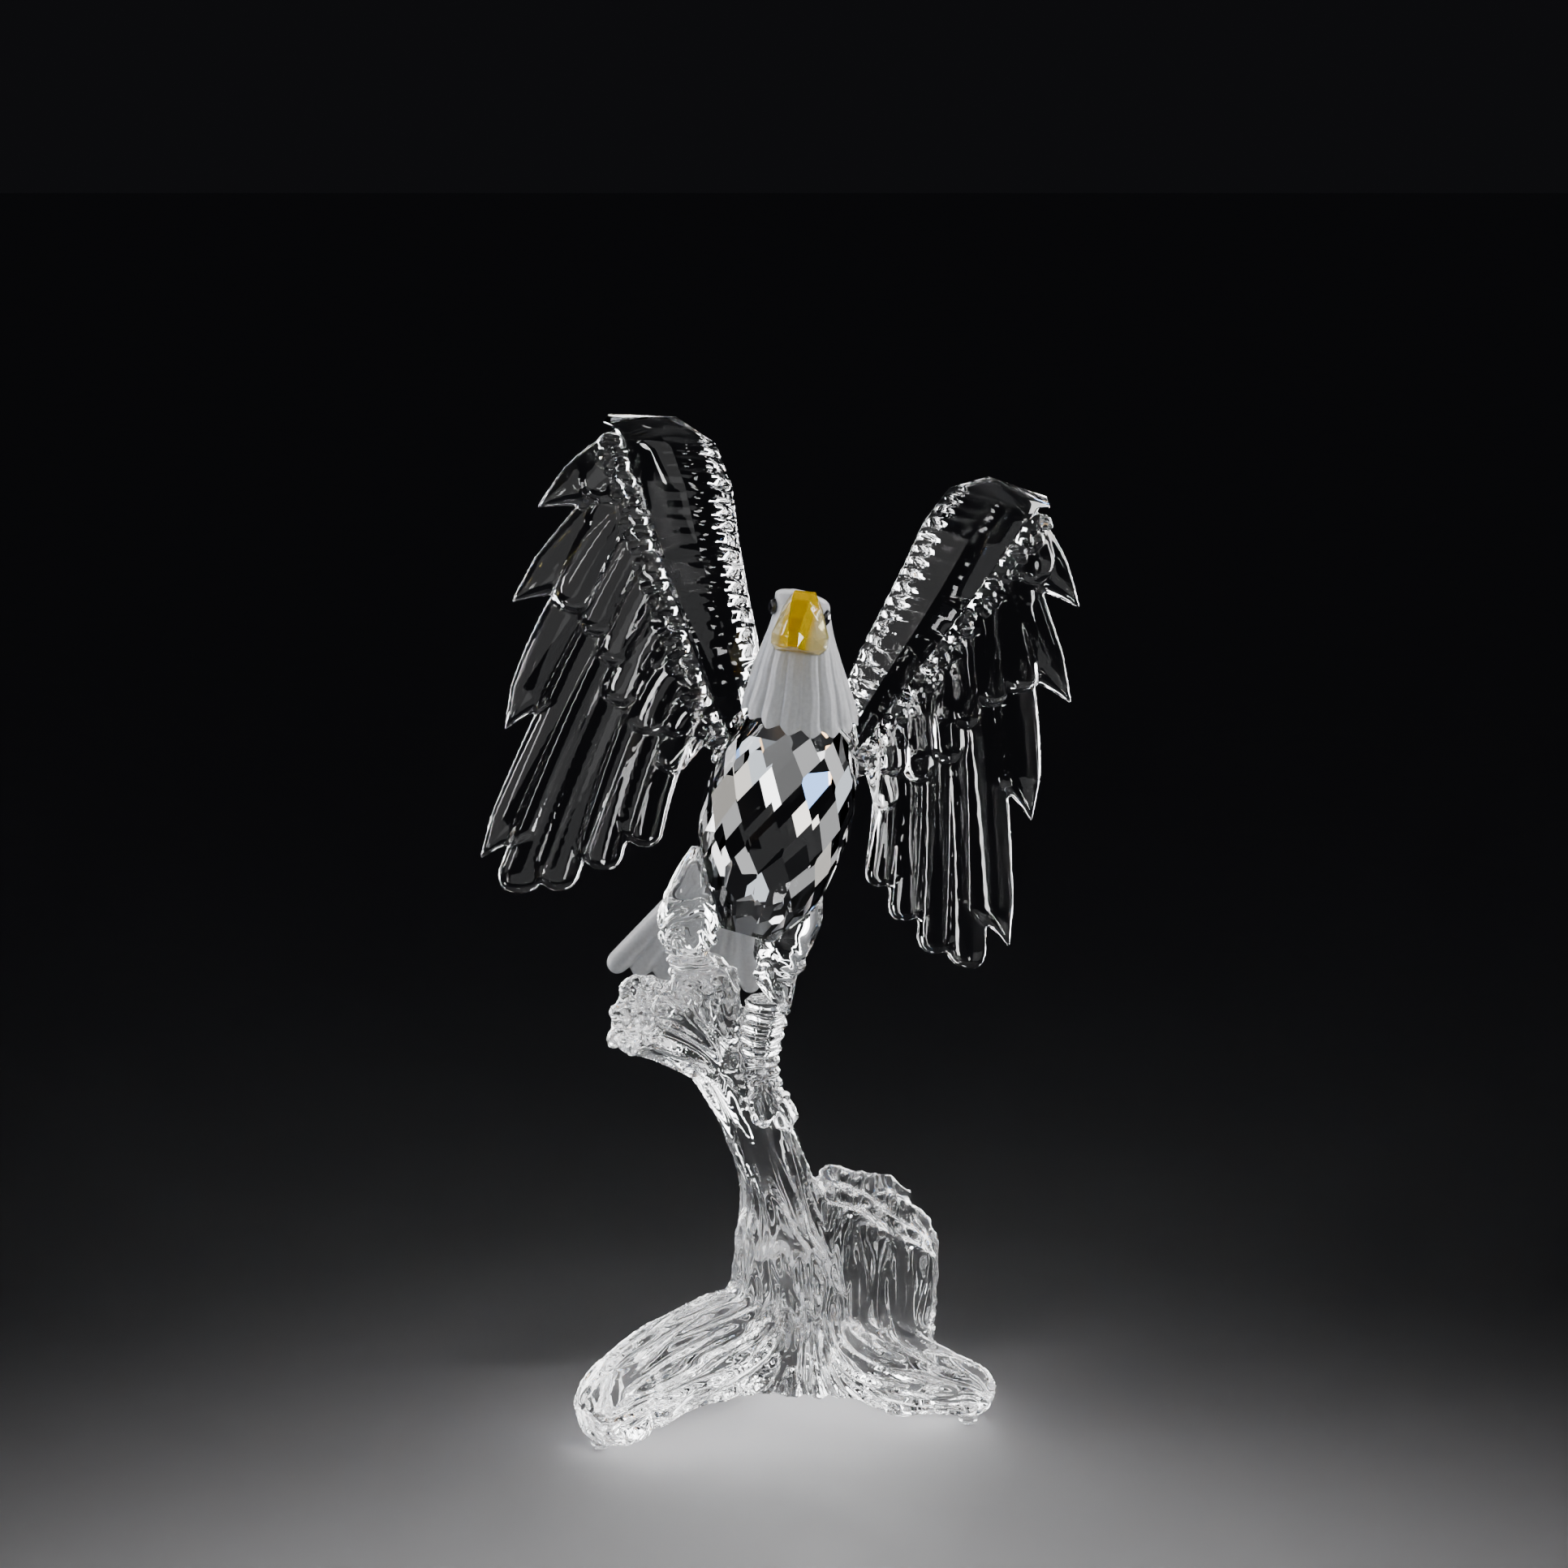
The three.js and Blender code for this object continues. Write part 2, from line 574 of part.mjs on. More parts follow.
// The upright stub beside the trunk, broken off along a slope
const STUB_PLACE = [20, 13];
const STUB_HALF = [13, 7.4];
const STUB_FOOT = 6;
const STUB_HEIGHT = 44;
const STUB_FALL = -0.64;
const STUB_RISE_BACK = 0.5;
const STUB_BULGE = 2.4;
const STUB_BULGE_PLACE = 4;
const STUB_BULGE_SPAN = 7;
const STUB_HUMP = 2.8;
// Each hump of its top edge: how far from the middle, how wide, and its share of the full height
const STUB_HUMPS = [[-10.5, 3.5, 0.65], [5.5, 4.5, 1]];

function stubGeometry() {
  const steps = 20;
  const rings = [0, 0.5, 1].map((t) => {
    const ring = [];
    for (let k = 0; k < steps; k += 1) {
      const angle = k * 2 * Math.PI / steps;
      const spread = (k % 2 ? 1.04 : 0.95) * lerp(0.92, 1, t);
      const x = STUB_HALF[0] * spread * Math.sign(Math.cos(angle)) * Math.abs(Math.cos(angle)) ** 0.7;
      const y = STUB_HALF[1] * spread * Math.sign(Math.sin(angle)) * Math.abs(Math.sin(angle)) ** 0.7;
      const bulge = Math.cos((x - STUB_BULGE_PLACE) / STUB_BULGE_SPAN) + 0.25 * Math.sin(5 * angle);
      const humps = STUB_HUMPS.map(([at, wide, share]) => share * Math.exp(-(((x - at) / wide) ** 2)));
      const hump = Math.max(...humps) * Math.max(y, 0) / STUB_HALF[1];
      const edge = STUB_HEIGHT + STUB_FALL * x + STUB_RISE_BACK * y;
      const top = edge + STUB_BULGE * bulge + STUB_HUMP * hump;
      ring.push(vector(STUB_PLACE[0] + x, STUB_PLACE[1] + y, lerp(STUB_FOOT, top, t)));
    }
    return ring;
  });
  return loft(rings);
}

// Splinters stand out of the stump's broken end
function splinterGeometry(k) {
  const splinter = new THREE.ConeGeometry(lerp(2.6, 3.4, (k % 3) / 2), lerp(5, 8, (k * 7 % 5) / 4), 6);
  const end = vector(...STUMP.at(-1).slice(0, 3));
  const axis = end.clone().sub(vector(...STUMP.at(-2).slice(0, 3))).normalize();
  splinter.applyQuaternion(new THREE.Quaternion().setFromUnitVectors(vector(0, 1, 0), axis));
  const angle = k * 2.4;
  const across = vector(0, 0, 1).cross(axis).normalize().multiplyScalar(Math.cos(angle));
  across.addScaledVector(axis.clone().cross(vector(0, 0, 1)).cross(axis).normalize(), Math.sin(angle));
  const place = end.addScaledVector(across, 6 * Math.sqrt(k / 6)).addScaledVector(axis, 0.4);
  return splinter.translate(place.x, place.y, place.z);
}

// What lies below the bumpers' tops is cut away, and the underside rises in a shallow arch
function groundCutter() {
  const floor = BUMPER_HEIGHT + SEAM;
  const slab = new THREE.BoxGeometry(GROUND_SPAN, GROUND_SPAN, GROUND_DEPTH);
  slab.translate(0, 0, floor - GROUND_DEPTH / 2);
  const arch = new THREE.SphereGeometry(1, 16, 6).scale(...ARCH_HALF, ARCH_RISE);
  arch.translate(...ARCH_PLACE, floor);
  return solid(slab).add(solid(arch));
}

const eaglePose = new THREE.Matrix4().compose(
  vector(...EAGLE_PLACE),
  new THREE.Quaternion().setFromEuler(new THREE.Euler(0, radians(EAGLE_ROLL), radians(EAGLE_YAW), 'ZYX')),
  vector(1, 1, 1),
);

function perchGeometry() {
  const limbs = [
    limbGeometry(TRUNK, 14, 1.2),
    limbGeometry(LEFT_ROOT, 8),
    limbGeometry(RIGHT_ROOT, 7),
    limbGeometry(BACK_ROOT, 6),
    limbGeometry(STUMP, 4),
    limbGeometry(WEB, 2),
    limbGeometry(RIGHT_LEG, 8, 0, 4, 0.2),
    limbGeometry(LEFT_LEG, 3, 0, 4, 0.2),
    stubGeometry(),
  ];
  const splinters = [0, 1, 2, 3, 4, 5].map(splinterGeometry);
  let perch = joined([...limbs, ...TOES.map(toeGeometry), ...splinters]);
  for (const thigh of [leftThighGeometry(SEAM), rightThighGeometry(SEAM)]) {
    perch = perch.subtract(solid(thigh.applyMatrix4(eaglePose)));
  }
  return shapeOf(largest(perch.subtract(groundCutter())));
}

function bumperGeometry([x, y]) {
  const radius = BUMPER_DIAMETER / 2;
  const profile = [
    [0, 0], [BUMPER_FLAT / 2, 0], [radius * 0.9, BUMPER_HEIGHT * 0.35], [radius, BUMPER_HEIGHT * 0.75],
    [radius, BUMPER_HEIGHT], [0, BUMPER_HEIGHT],
  ];
  const turned = new THREE.LatheGeometry(profile.map((point) => new THREE.Vector2(...point)), 12);
  return turned.rotateX(Math.PI / 2).translate(x, y, 0);
}

// The figurine

function eagle() {
  const group = new THREE.Group();
  const leftWing = wingGeometry(-1);
  const rightWing = wingGeometry(1);
  group.add(named('body', bodyGeometry(), crystal));
  group.add(named('head', headGeometry(), frosted));
  group.add(named('beak', inEagle(beakGeometry()), amber));
  group.add(named('eye_left', inEagle(eyeGeometry(-1)), jet));
  group.add(named('eye_right', inEagle(eyeGeometry(1)), jet));
  group.add(named('wing_left', shapeOf(largest(leftWing)), crystal));
  group.add(named('wing_right', shapeOf(largest(rightWing)), crystal));
  group.add(named('tail', shapeOf(largest(tailGeometry())), frosted));
  const thighs = { thigh_left: leftThighGeometry(), thigh_right: rightThighGeometry() };
  for (const [name, thigh] of Object.entries(thighs)) {
    group.add(named(name, shapeOf(solid(thigh).subtract(bodyCutter)), crystal));
  }
  group.applyMatrix4(eaglePose);
  return group;
}

function figurine() {
  const group = new THREE.Group();
  group.add(eagle());
  group.add(named('driftwood', perchGeometry(), crystal));
  for (const [side, place] of Object.entries(BUMPER_PLACES)) {
    group.add(named(`bumper_${side}`, bumperGeometry(place), clearRubber));
  }
  group.updateMatrixWorld(true);
  const box = new THREE.Box3().setFromObject(group, true);
  group.position.set(-(box.min.x + box.max.x) / 2, -(box.min.y + box.max.y) / 2, -box.min.z);
  return group;
}

export default figurine();
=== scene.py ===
"""A crystal eagle on a cast driftwood perch: the finer shapes, the crystal and the studio.
Lengths below are in millimetres, and become metres when a mesh is made."""

import math

import bpy
import numpy as np
from mathutils import Matrix, Vector
from mathutils.bvhtree import BVHTree


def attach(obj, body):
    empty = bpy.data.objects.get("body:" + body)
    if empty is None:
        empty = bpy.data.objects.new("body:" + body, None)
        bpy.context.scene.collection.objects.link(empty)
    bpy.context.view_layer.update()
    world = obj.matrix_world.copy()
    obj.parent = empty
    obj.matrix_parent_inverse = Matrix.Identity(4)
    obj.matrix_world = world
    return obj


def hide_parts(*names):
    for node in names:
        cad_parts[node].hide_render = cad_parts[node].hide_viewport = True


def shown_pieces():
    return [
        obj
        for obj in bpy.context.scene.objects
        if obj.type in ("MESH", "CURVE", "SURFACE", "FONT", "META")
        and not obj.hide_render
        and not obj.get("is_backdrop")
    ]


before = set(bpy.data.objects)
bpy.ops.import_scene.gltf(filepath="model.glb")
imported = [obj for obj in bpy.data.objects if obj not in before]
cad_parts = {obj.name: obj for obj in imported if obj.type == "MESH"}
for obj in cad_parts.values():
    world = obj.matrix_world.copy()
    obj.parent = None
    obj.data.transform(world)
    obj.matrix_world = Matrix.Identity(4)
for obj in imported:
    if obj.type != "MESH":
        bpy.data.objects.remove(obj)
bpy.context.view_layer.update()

MM = 0.001
# From the drawing's own origin to the middle of the footprint
SHIFT = np.array([0.1576, -8.4279, 0.0])
# The gap that stands for a glue line between two pieces
SEAM = 0.3

# Small tools


def turn(axis, degrees):
    return np.array(Matrix.Rotation(math.radians(degrees), 3, axis))


def lerp(a, b, t):
    return a + (b - a) * t


EAGLE_PLACE = np.array([-1.35, 0.0, 134.1])
EAGLE_TURN = turn("Z", 10) @ turn("Y", 12)


def from_eagle(points):
    return points @ EAGLE_TURN.T + EAGLE_PLACE + SHIFT


def noise3(points, seed=0):
    """Smooth gradient noise, about -0.7 to 0.7, at rows of points."""
    gradients = np.array(
        [(1, 1, 0), (-1, 1, 0), (1, -1, 0), (-1, -1, 0), (1, 0, 1), (-1, 0, 1),
         (1, 0, -1), (-1, 0, -1), (0, 1, 1), (0, -1, 1), (0, 1, -1), (0, -1, -1)], float)
    cell = np.floor(points).astype(np.int64)
    local = points - cell
    fade = local ** 3 * (local * (local * 6 - 15) + 10)
    total = np.zeros(len(points))
    for corner in np.ndindex(2, 2, 2):
        at = cell + corner
        code = at[:, 0] * 73856093 ^ at[:, 1] * 19349663 ^ at[:, 2] * 83492791 ^ (seed * 7919 + 17)
        code = (code ^ (code >> 13)) * 1274126177 & 0xFFFFFFFF
        slope = gradients[(code ^ (code >> 16)) % 12]
        weight = np.prod(np.where(corner, fade, 1 - fade), axis=1)
        total += weight * np.sum((local - corner) * slope, axis=1)
    return total


def spline(points, steps):
    """Points and radii evenly spaced in parameter on a Catmull-Rom curve through rows of values."""
    rows = np.array(points, float)
    padded = np.vstack([2 * rows[0] - rows[1], rows, 2 * rows[-1] - rows[-2]])
    out = []
    for i in range(steps + 1):
        u = i / steps * (len(rows) - 1)
        k = min(int(u), len(rows) - 2)
        t = u - k
        a, b, c, d = padded[k:k + 4]
        out.append(0.5 * (2 * b + (c - a) * t + (2 * a - 5 * b + 4 * c - d) * t * t
                          + (3 * b - a - 3 * c + d) * t ** 3))
    return np.array(out)


def frames_along(path):
    """Tangent, normal and binormal along a path, carried without twist."""
    tangent = np.gradient(path, axis=0)
    tangent /= np.linalg.norm(tangent, axis=1)[:, None]
    normal = np.cross(tangent[0], (0.0, 1.0, 0.0) if abs(tangent[0][1]) < 0.8 else (1.0, 0.0, 0.0))
    normals = []
    for t in tangent:
        normal = normal - t * (normal @ t)
        normal = normal / np.linalg.norm(normal)
        normals.append(normal)
    normals = np.array(normals)
    return tangent, normals, np.cross(tangent, normals)


def skin(rings):
    """A closed skin over rings of points: rows x around x 3."""
    rows, count, _ = rings.shape
    points = np.vstack([rings.reshape(-1, 3), rings[0].mean(0)[None], rings[-1].mean(0)[None]])
    faces = []
    for row in range(rows - 1):
        for k in range(count):
            a, b = row * count + k, row * count + (k + 1) % count
            faces.append((a, b, b + count, a + count))
    top = (rows - 1) * count
    for k in range(count):
        faces.append((rows * count, (k + 1) % count, k))
        faces.append((rows * count + 1, top + k, top + (k + 1) % count))
    return points, faces


def merged(parts):
    points, faces, start = [], [], 0
    for part_points, part_faces in parts:
        points.append(part_points)
        faces += [tuple(i + start for i in face) for face in part_faces]
        start += len(part_points)
    return np.vstack(points), faces


def make(name, points, faces):
    mesh = bpy.data.meshes.new(name)
    mesh.from_pydata((np.asarray(points) * MM).tolist(), [], faces)
    obj = bpy.data.objects.new(name, mesh)
    bpy.context.collection.objects.link(obj)
    return obj


def made_from(name, shape, shift=0.0):
    """An object from a shape of points and faces, turned outwards."""
    points, faces = shape
    obj = make(name, points + shift, faces)
    outward(obj)
    return obj


def bake(obj):
    """The object's modifiers, applied to its mesh."""
    graph = bpy.context.evaluated_depsgraph_get()
    baked = bpy.data.meshes.new_from_object(obj.evaluated_get(graph))
    obj.modifiers.clear()
    obj.data = baked


def outward(obj):
    """Faces turned to the outside."""
    mesh = obj.data
    mesh.calc_loop_triangles()
    points = places(obj)
    tris = np.array([t.vertices[:] for t in mesh.loop_triangles])
    a, b, c = points[tris[:, 0]], points[tris[:, 1]], points[tris[:, 2]]
    if np.sum(a * np.cross(b, c)) < 0:
        mesh.flip_normals()


def places(obj):
    flat = np.empty(len(obj.data.vertices) * 3)
    obj.data.vertices.foreach_get("co", flat)
    return flat.reshape(-1, 3) / MM


def put(obj, points):
    obj.data.vertices.foreach_set("co", (np.asarray(points) * MM).ravel())
    obj.data.update()


def normals(obj):
    flat = np.empty(len(obj.data.vertices) * 3)
    obj.data.vertices.foreach_get("normal", flat)
    return flat.reshape(-1, 3)


def cast(name, parts, voxel, soften):
    """Parts that overlap, melted into one skin and softened as pressed glass is."""
    obj = make(name, *merged(parts))
    melt = obj.modifiers.new("melt", "REMESH")
    melt.mode = "VOXEL"
    melt.voxel_size = voxel * MM
    soft = obj.modifiers.new("soften", "SMOOTH")
    soft.factor = 0.5
    soft.iterations = soften
    bake(obj)
    outward(obj)
    return obj


def combine(obj, other, operation):
    """The object joined with another or cut by it. The other one is used up."""
    tool = obj.modifiers.new("combine", "BOOLEAN")
    tool.operation = operation
    tool.solver = "MANIFOLD"
    tool.object = other
    bake(obj)
    bpy.data.objects.remove(other)


def grown_copy(node, gap):
    """A copy of a CAD node, larger by a gap all round."""
    copy = bpy.data.objects.new(node + "_grown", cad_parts[node].data.copy())
    bpy.context.collection.objects.link(copy)
    weld = copy.modifiers.new("weld", "WELD")
    weld.merge_threshold = 1e-6
    bake(copy)
    outward(copy)
    put(copy, places(copy) + normals(copy) * gap)
    return copy


def finish_skin(obj, sharp):
    """Smooth shading, but for edges sharper than an angle in degrees."""
    obj.data.shade_smooth()
    obj.data.set_sharp_from_angle(angle=math.radians(sharp))


# Materials


def material(name, **values):
    made = bpy.data.materials.new(name)
    made.use_nodes = True
    shader = made.node_tree.nodes["Principled BSDF"]
    for socket, value in values.items():
        shader.inputs[socket.replace("_", " ")].default_value = value
    return made, shader


def add(made, kind, **values):
    node = made.node_tree.nodes.new(kind)
    for key, value in values.items():
        if hasattr(node, key):
            setattr(node, key, value)
        else:
            node.inputs[key.replace("_", " ")].default_value = value
    return node


def link(made, a, out, b, into):
    made.node_tree.links.new(a.outputs[out], b.inputs[into])


def relief(made, shader, scale, strength, depth, detail=2.0):
    """A gentle waviness of the surface from noise in the object's own coordinates."""
    where = add(made, "ShaderNodeTexCoord")
    noise = add(made, "ShaderNodeTexNoise", Scale=scale, Detail=detail)
    bump = add(made, "ShaderNodeBump", Strength=strength, Distance=depth)
    link(made, where, "Object", noise, "Vector")
    link(made, noise, "Fac", bump, "Height")
    link(made, bump, "Normal", shader, "Normal")
    return where, noise


def dusty(made, shader, noise, low, high):
    """Roughness that varies a little over the surface."""
    ramp = add(made, "ShaderNodeMapRange")
    ramp.inputs["From Min"].default_value = 0.35
    ramp.inputs["From Max"].default_value = 0.75
    ramp.inputs["To Min"].default_value = low
    ramp.inputs["To Max"].default_value = high
    link(made, noise, "Fac", ramp, "Value")
    link(made, ramp, "Result", shader, "Roughness")


def tinted(made, shader, noise, pale, deep):
    """A colour that drifts between two tints over the surface."""
    ramp = add(made, "ShaderNodeValToRGB")
    ramp.color_ramp.elements[0].position = 0.3
    ramp.color_ramp.elements[0].color = (*pale, 1)
    ramp.color_ramp.elements[1].position = 0.75
    ramp.color_ramp.elements[1].color = (*deep, 1)
    link(made, noise, "Fac", ramp, "Fac")
    link(made, ramp, "Color", shader, "Base Color")


def crystal(name, scale, strength, depth, roughest):
    """Clear crystal with a faint waviness and a roughness between none and the roughest."""
    made, shader = material(name, IOR=1.56, Transmission_Weight=1.0, Base_Color=(1, 1, 1, 1))
    _, noise = relief(made, shader, scale, strength, depth)
    dusty(made, shader, noise, 0.0, roughest)
    tinted(made, shader, noise, (0.985, 0.99, 1.0), (0.955, 0.97, 0.985))
    return made


cut_crystal = crystal("cut_crystal", 90, 0.02, 0.0002, 0.012)
pressed_crystal = crystal("pressed_crystal", 120, 0.05, 0.0004, 0.02)
cast_crystal = crystal("cast_crystal", 110, 0.05, 0.0004, 0.03)

frosted, frosted_shader = material(
    "frosted_crystal", IOR=1.52, Transmission_Weight=0.32, Base_Color=(0.93, 0.95, 0.97, 1))
_, frost = relief(frosted, frosted_shader, 1400, 0.18, 0.0002, detail=4.0)
dusty(frosted, frosted_shader, frost, 0.42, 0.56)
tinted(frosted, frosted_shader, frost, (0.55, 0.562, 0.575), (0.45, 0.46, 0.475))

beak_yellow, beak_shader = material(
    "yellow_crystal", IOR=1.6, Transmission_Weight=0.72, Roughness=0.02,
    Base_Color=(0.95, 0.7, 0.05, 1))
beak_where, _ = relief(beak_yellow, beak_shader, 120, 0.04, 0.0002)

jet, jet_shader = material(
    "black_bead", Base_Color=(0.006, 0.006, 0.008, 1), Coat_Weight=1.0, Coat_Roughness=0.02)
_, jet_noise = relief(jet, jet_shader, 400, 0.03, 0.0002)
dusty(jet, jet_shader, jet_noise, 0.05, 0.14)

soft_rubber, rubber_shader = material(
    "bumper", IOR=1.46, Transmission_Weight=0.9, Base_Color=(0.94, 0.95, 0.96, 1))
_, rubber_noise = relief(soft_rubber, rubber_shader, 700, 0.15, 0.0002)
dusty(soft_rubber, rubber_shader, rubber_noise, 0.16, 0.3)

HEAD_TURN = turn("Z", -18)
COLLAR_PLACE = np.array([0, -0.8, 21.7])


def from_head(points):
    return from_eagle(points @ HEAD_TURN.T + COLLAR_PLACE)


# The beak's colour is strong in a band down its middle and pale on its side facets
beak_middle = from_head(np.array([[-4.4 * 0.62, -24.4 * 0.335, 24.6 * 0.79]]))[0] * MM
across_beak = EAGLE_TURN @ HEAD_TURN @ np.array([1.0, 0, 0])
aside = add(beak_yellow, "ShaderNodeVectorMath", operation="DOT_PRODUCT")
aside.inputs[1].default_value = across_beak.tolist()
link(beak_yellow, beak_where, "Object", aside, 0)
from_middle = add(beak_yellow, "ShaderNodeMath", operation="SUBTRACT")
from_middle.inputs[1].default_value = float(beak_middle @ across_beak)
link(beak_yellow, aside, "Value", from_middle, 0)
distance = add(beak_yellow, "ShaderNodeMath", operation="ABSOLUTE")
link(beak_yellow, from_middle, "Value", distance, 0)
spread = add(beak_yellow, "ShaderNodeMapRange")
spread.inputs["From Min"].default_value = 0.0026
spread.inputs["From Max"].default_value = 0.0036
link(beak_yellow, distance, "Value", spread, "Value")
band = add(beak_yellow, "ShaderNodeValToRGB")
band.color_ramp.elements[0].color = (1.0, 0.67, 0.0, 1)
band.color_ramp.elements[1].color = (0.82, 0.77, 0.4, 1)
link(beak_yellow, spread, "Result", band, "Fac")
link(beak_yellow, band, "Color", beak_shader, "Base Color")


def dress(obj, made):
    """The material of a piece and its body."""
    obj.data.materials.clear()
    obj.data.materials.append(made)
    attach(obj, "root")


# Wings

FLIGHT_FEATHERS = [
    ((40, 68), (50, 59), (55.6, 48.8), 12, 0.75), ((38, 62), (48.9, 46.3), (57.4, 29), 12, 0.75),
    ((36, 56), (52, 30.4), (53.6, 4.5), 11, 0.75),
    ((34, 50), (46.4, 15), (54.3, -23.2), 10.2, 0.75),
    ((31, 45), (42, 12), (49.6, -28.6), 9.6, 0.4), ((28, 40), (37, 10), (42.1, -26.4), 9.4, 0),
    ((24, 34), (31.5, 8), (33.6, -20.4), 9, 0), ((19, 27), (26.4, 8), (26, -13.6), 8.4, 0),
]
GREAT_COVERTS = [
    ((42, 55), (48, 44), (49, 31.8), 9, 0), ((37, 50), (43, 39), (43.3, 28), 9, 0),
    ((32, 45), (38.5, 34), (38.4, 22.5), 8.6, 0), ((27, 38), (34.5, 27), (36.5, 14.8), 8.4, 0),
    ((22, 32), (29, 22), (30.5, 10.2), 8, 0), ((17, 25), (23, 18), (24.2, 10.8), 7, 0),
]
LESSER_COVERTS = [
    ((42, 66), (47, 62), (48.5, 55), 6.4, 0), ((39, 59), (44.5, 54), (45.5, 46.5), 6.4, 0),
    ((35, 52), (41, 47), (41.8, 39.5), 6.2, 0), ((30, 45), (36, 39), (37, 31.5), 6.2, 0),
    ((25, 37), (31, 31), (32, 23.5), 6, 0), ((20, 29), (25, 23), (26, 16.5), 5.6, 0),
]
TERTIALS = [((15.5, 20), (20, 13), (24.4, 3.6), 6.2, 0.4)]
# How deep the wing's curved sheet lies at the root, and how it runs outwards, curls and leans
SHEET_START = -8
SHEET_SLOPE = 0.85
SHEET_CURL = 0.0085
SHEET_LEAN = 0.126
WING_VOXEL = 0.45
FEATHER_THICKNESS = 3.2
COVERT_THICKNESS = 2.4
COVERT_STEP = 1.2


def on_sheet(side, out, up, back):
    depth = SHEET_START + SHEET_SLOPE * out - SHEET_CURL * out * out + SHEET_LEAN * up
    return np.stack([side * out, depth + back, up], axis=-1)


def feather(side, shape, thickness, forward, blunt, tilt):
    """A rounded feather on the wing's curved sheet. Blunt ones keep their thickness to the tip."""
    root, bend, tip, width, lean = shape
    root, bend, tip = (np.array(p, float) for p in (root, bend, tip))
    length = np.linalg.norm(bend - root) + np.linalg.norm(tip - bend)
    cap = min(0.45, width * (0.85 if lean > 0.5 else 0.5) / length)
    round_end = 1 - cap * np.cos(np.linspace(0, np.pi / 2, 13))[1:]
    t = np.concatenate([np.linspace(0, 1 - cap, 22), round_end])
    at = ((1 - t) ** 2)[:, None] * root + (2 * t * (1 - t))[:, None] * bend + (t * t)[:, None] * tip
    run = (1 - t)[:, None] * (bend - root) + t[:, None] * (tip - bend)
    run /= np.linalg.norm(run, axis=1)[:, None]
    end = np.clip((t - (1 - cap)) / cap, 0, 1)
    share = (1 - 0.96 * end) ** 1.15 if lean > 0.5 else np.sqrt(np.maximum(1 - end ** 2.2, 0.0016))
    share *= np.minimum(1, 0.72 + 0.7 * t)
    deep = lerp(0.8, 1.1, t) if blunt else lerp(1, 0.55, t * t)
    deep = deep * np.sqrt(np.maximum(1 - end ** (6 if blunt else 3), 0.01))
    angle = np.linspace(0, 2 * np.pi, 20, endpoint=False)
    across = np.cos(angle)
    through = np.sin(angle)
    through = np.where(through > 0, through * 0.7, through)
    shift = (across[None, :] * share[:, None] + lean * (1 - share[:, None])) * width / 2
    out = at[:, 0:1] - run[:, 1:2] * shift
    up = at[:, 1:2] + run[:, 0:1] * shift
    back = through[None, :] * (thickness / 2 * deep)[:, None] - forward
    back = back + tilt * across[None, :] * share[:, None]
    return skin(on_sheet(side, out, up, back))


def blob(center, size, around=14, rows=9):
    """A ball with its own size along each axis."""
    polar = np.linspace(0.12, math.pi - 0.12, rows)
    angle = np.linspace(0, 2 * np.pi, around, endpoint=False)
    x = np.sin(polar)[:, None] * np.cos(angle)[None, :]
    y = np.sin(polar)[:, None] * np.sin(angle)[None, :]
    z = np.repeat(np.cos(polar)[:, None], around, axis=1)
    return skin(np.stack([x, y, z], axis=-1) * np.array(size) + np.array(center))


BAR_STATIONS = [
    ((11, 10), (3.5, 14), 0.55), ((14.5, 15), (7.5, 20), 0.7), ((18, 20), (9, 28), 0.8),
    ((22.5, 27.5), (11, 35), 0.92), ((29.5, 39.5), (14.3, 43.5), 1), ((35.5, 50), (17.8, 53.5), 1),
    ((40.8, 60.3), (20.8, 63.5), 0.95), ((44.2, 67), (25.5, 71.5), 0.8),
    ((46.3, 70.2), (34, 75), 0.55), ((48.9, 70.8), (47.8, 72.9), 0.12),
]
BAR_THICKNESS = 10.5
RIB_PITCH = 3.0
RIB_DEPTH = 0.055


def bar(side):
    """The polished leading edge: flat facets in front, pressed ribs along its inner back."""
    stations = np.array([[*outer, *inner, share] for outer, inner, share in BAR_STATIONS], float)
    rings = []
    for i in range(len(stations) - 1):
        span = np.linalg.norm(stations[i + 1, 2:4] - stations[i, 2:4])
        pieces = max(1, int(round(span / RIB_PITCH * 4))) if i < 7 else 1
        for k in range(pieces):
            rings.append((lerp(stations[i], stations[i + 1], k / pieces), len(rings)))
    rings.append((stations[-1], 0))
    rows = []
    for (outer_out, outer_up, inner_out, inner_up, share), number in rings:
        rib = RIB_DEPTH * math.cos(number * math.pi / 2 + 0.7 * math.sin(number * 0.31))
        fade = min(1.0, max(0.0, (inner_up - 22) / 14))
        section = [
            (0, 0.36), (0, -0.22), (0.08, -0.5), (0.5, -0.56), (1, -0.05),
            (0.99, 0.1 + rib * fade * 0.5), (0.86, 0.41 + rib * fade), (0.64, 0.42), (0.3, 0.43),
        ]
        row = []
        for across, through in section:
            out = lerp(outer_out, inner_out, across)
            up = lerp(outer_up, inner_up, across)
            row.append(on_sheet(side, out, up, through * share * BAR_THICKNESS))
        rows.append(row)
    return skin(np.array(rows))


CHAIN_BEADS = 25


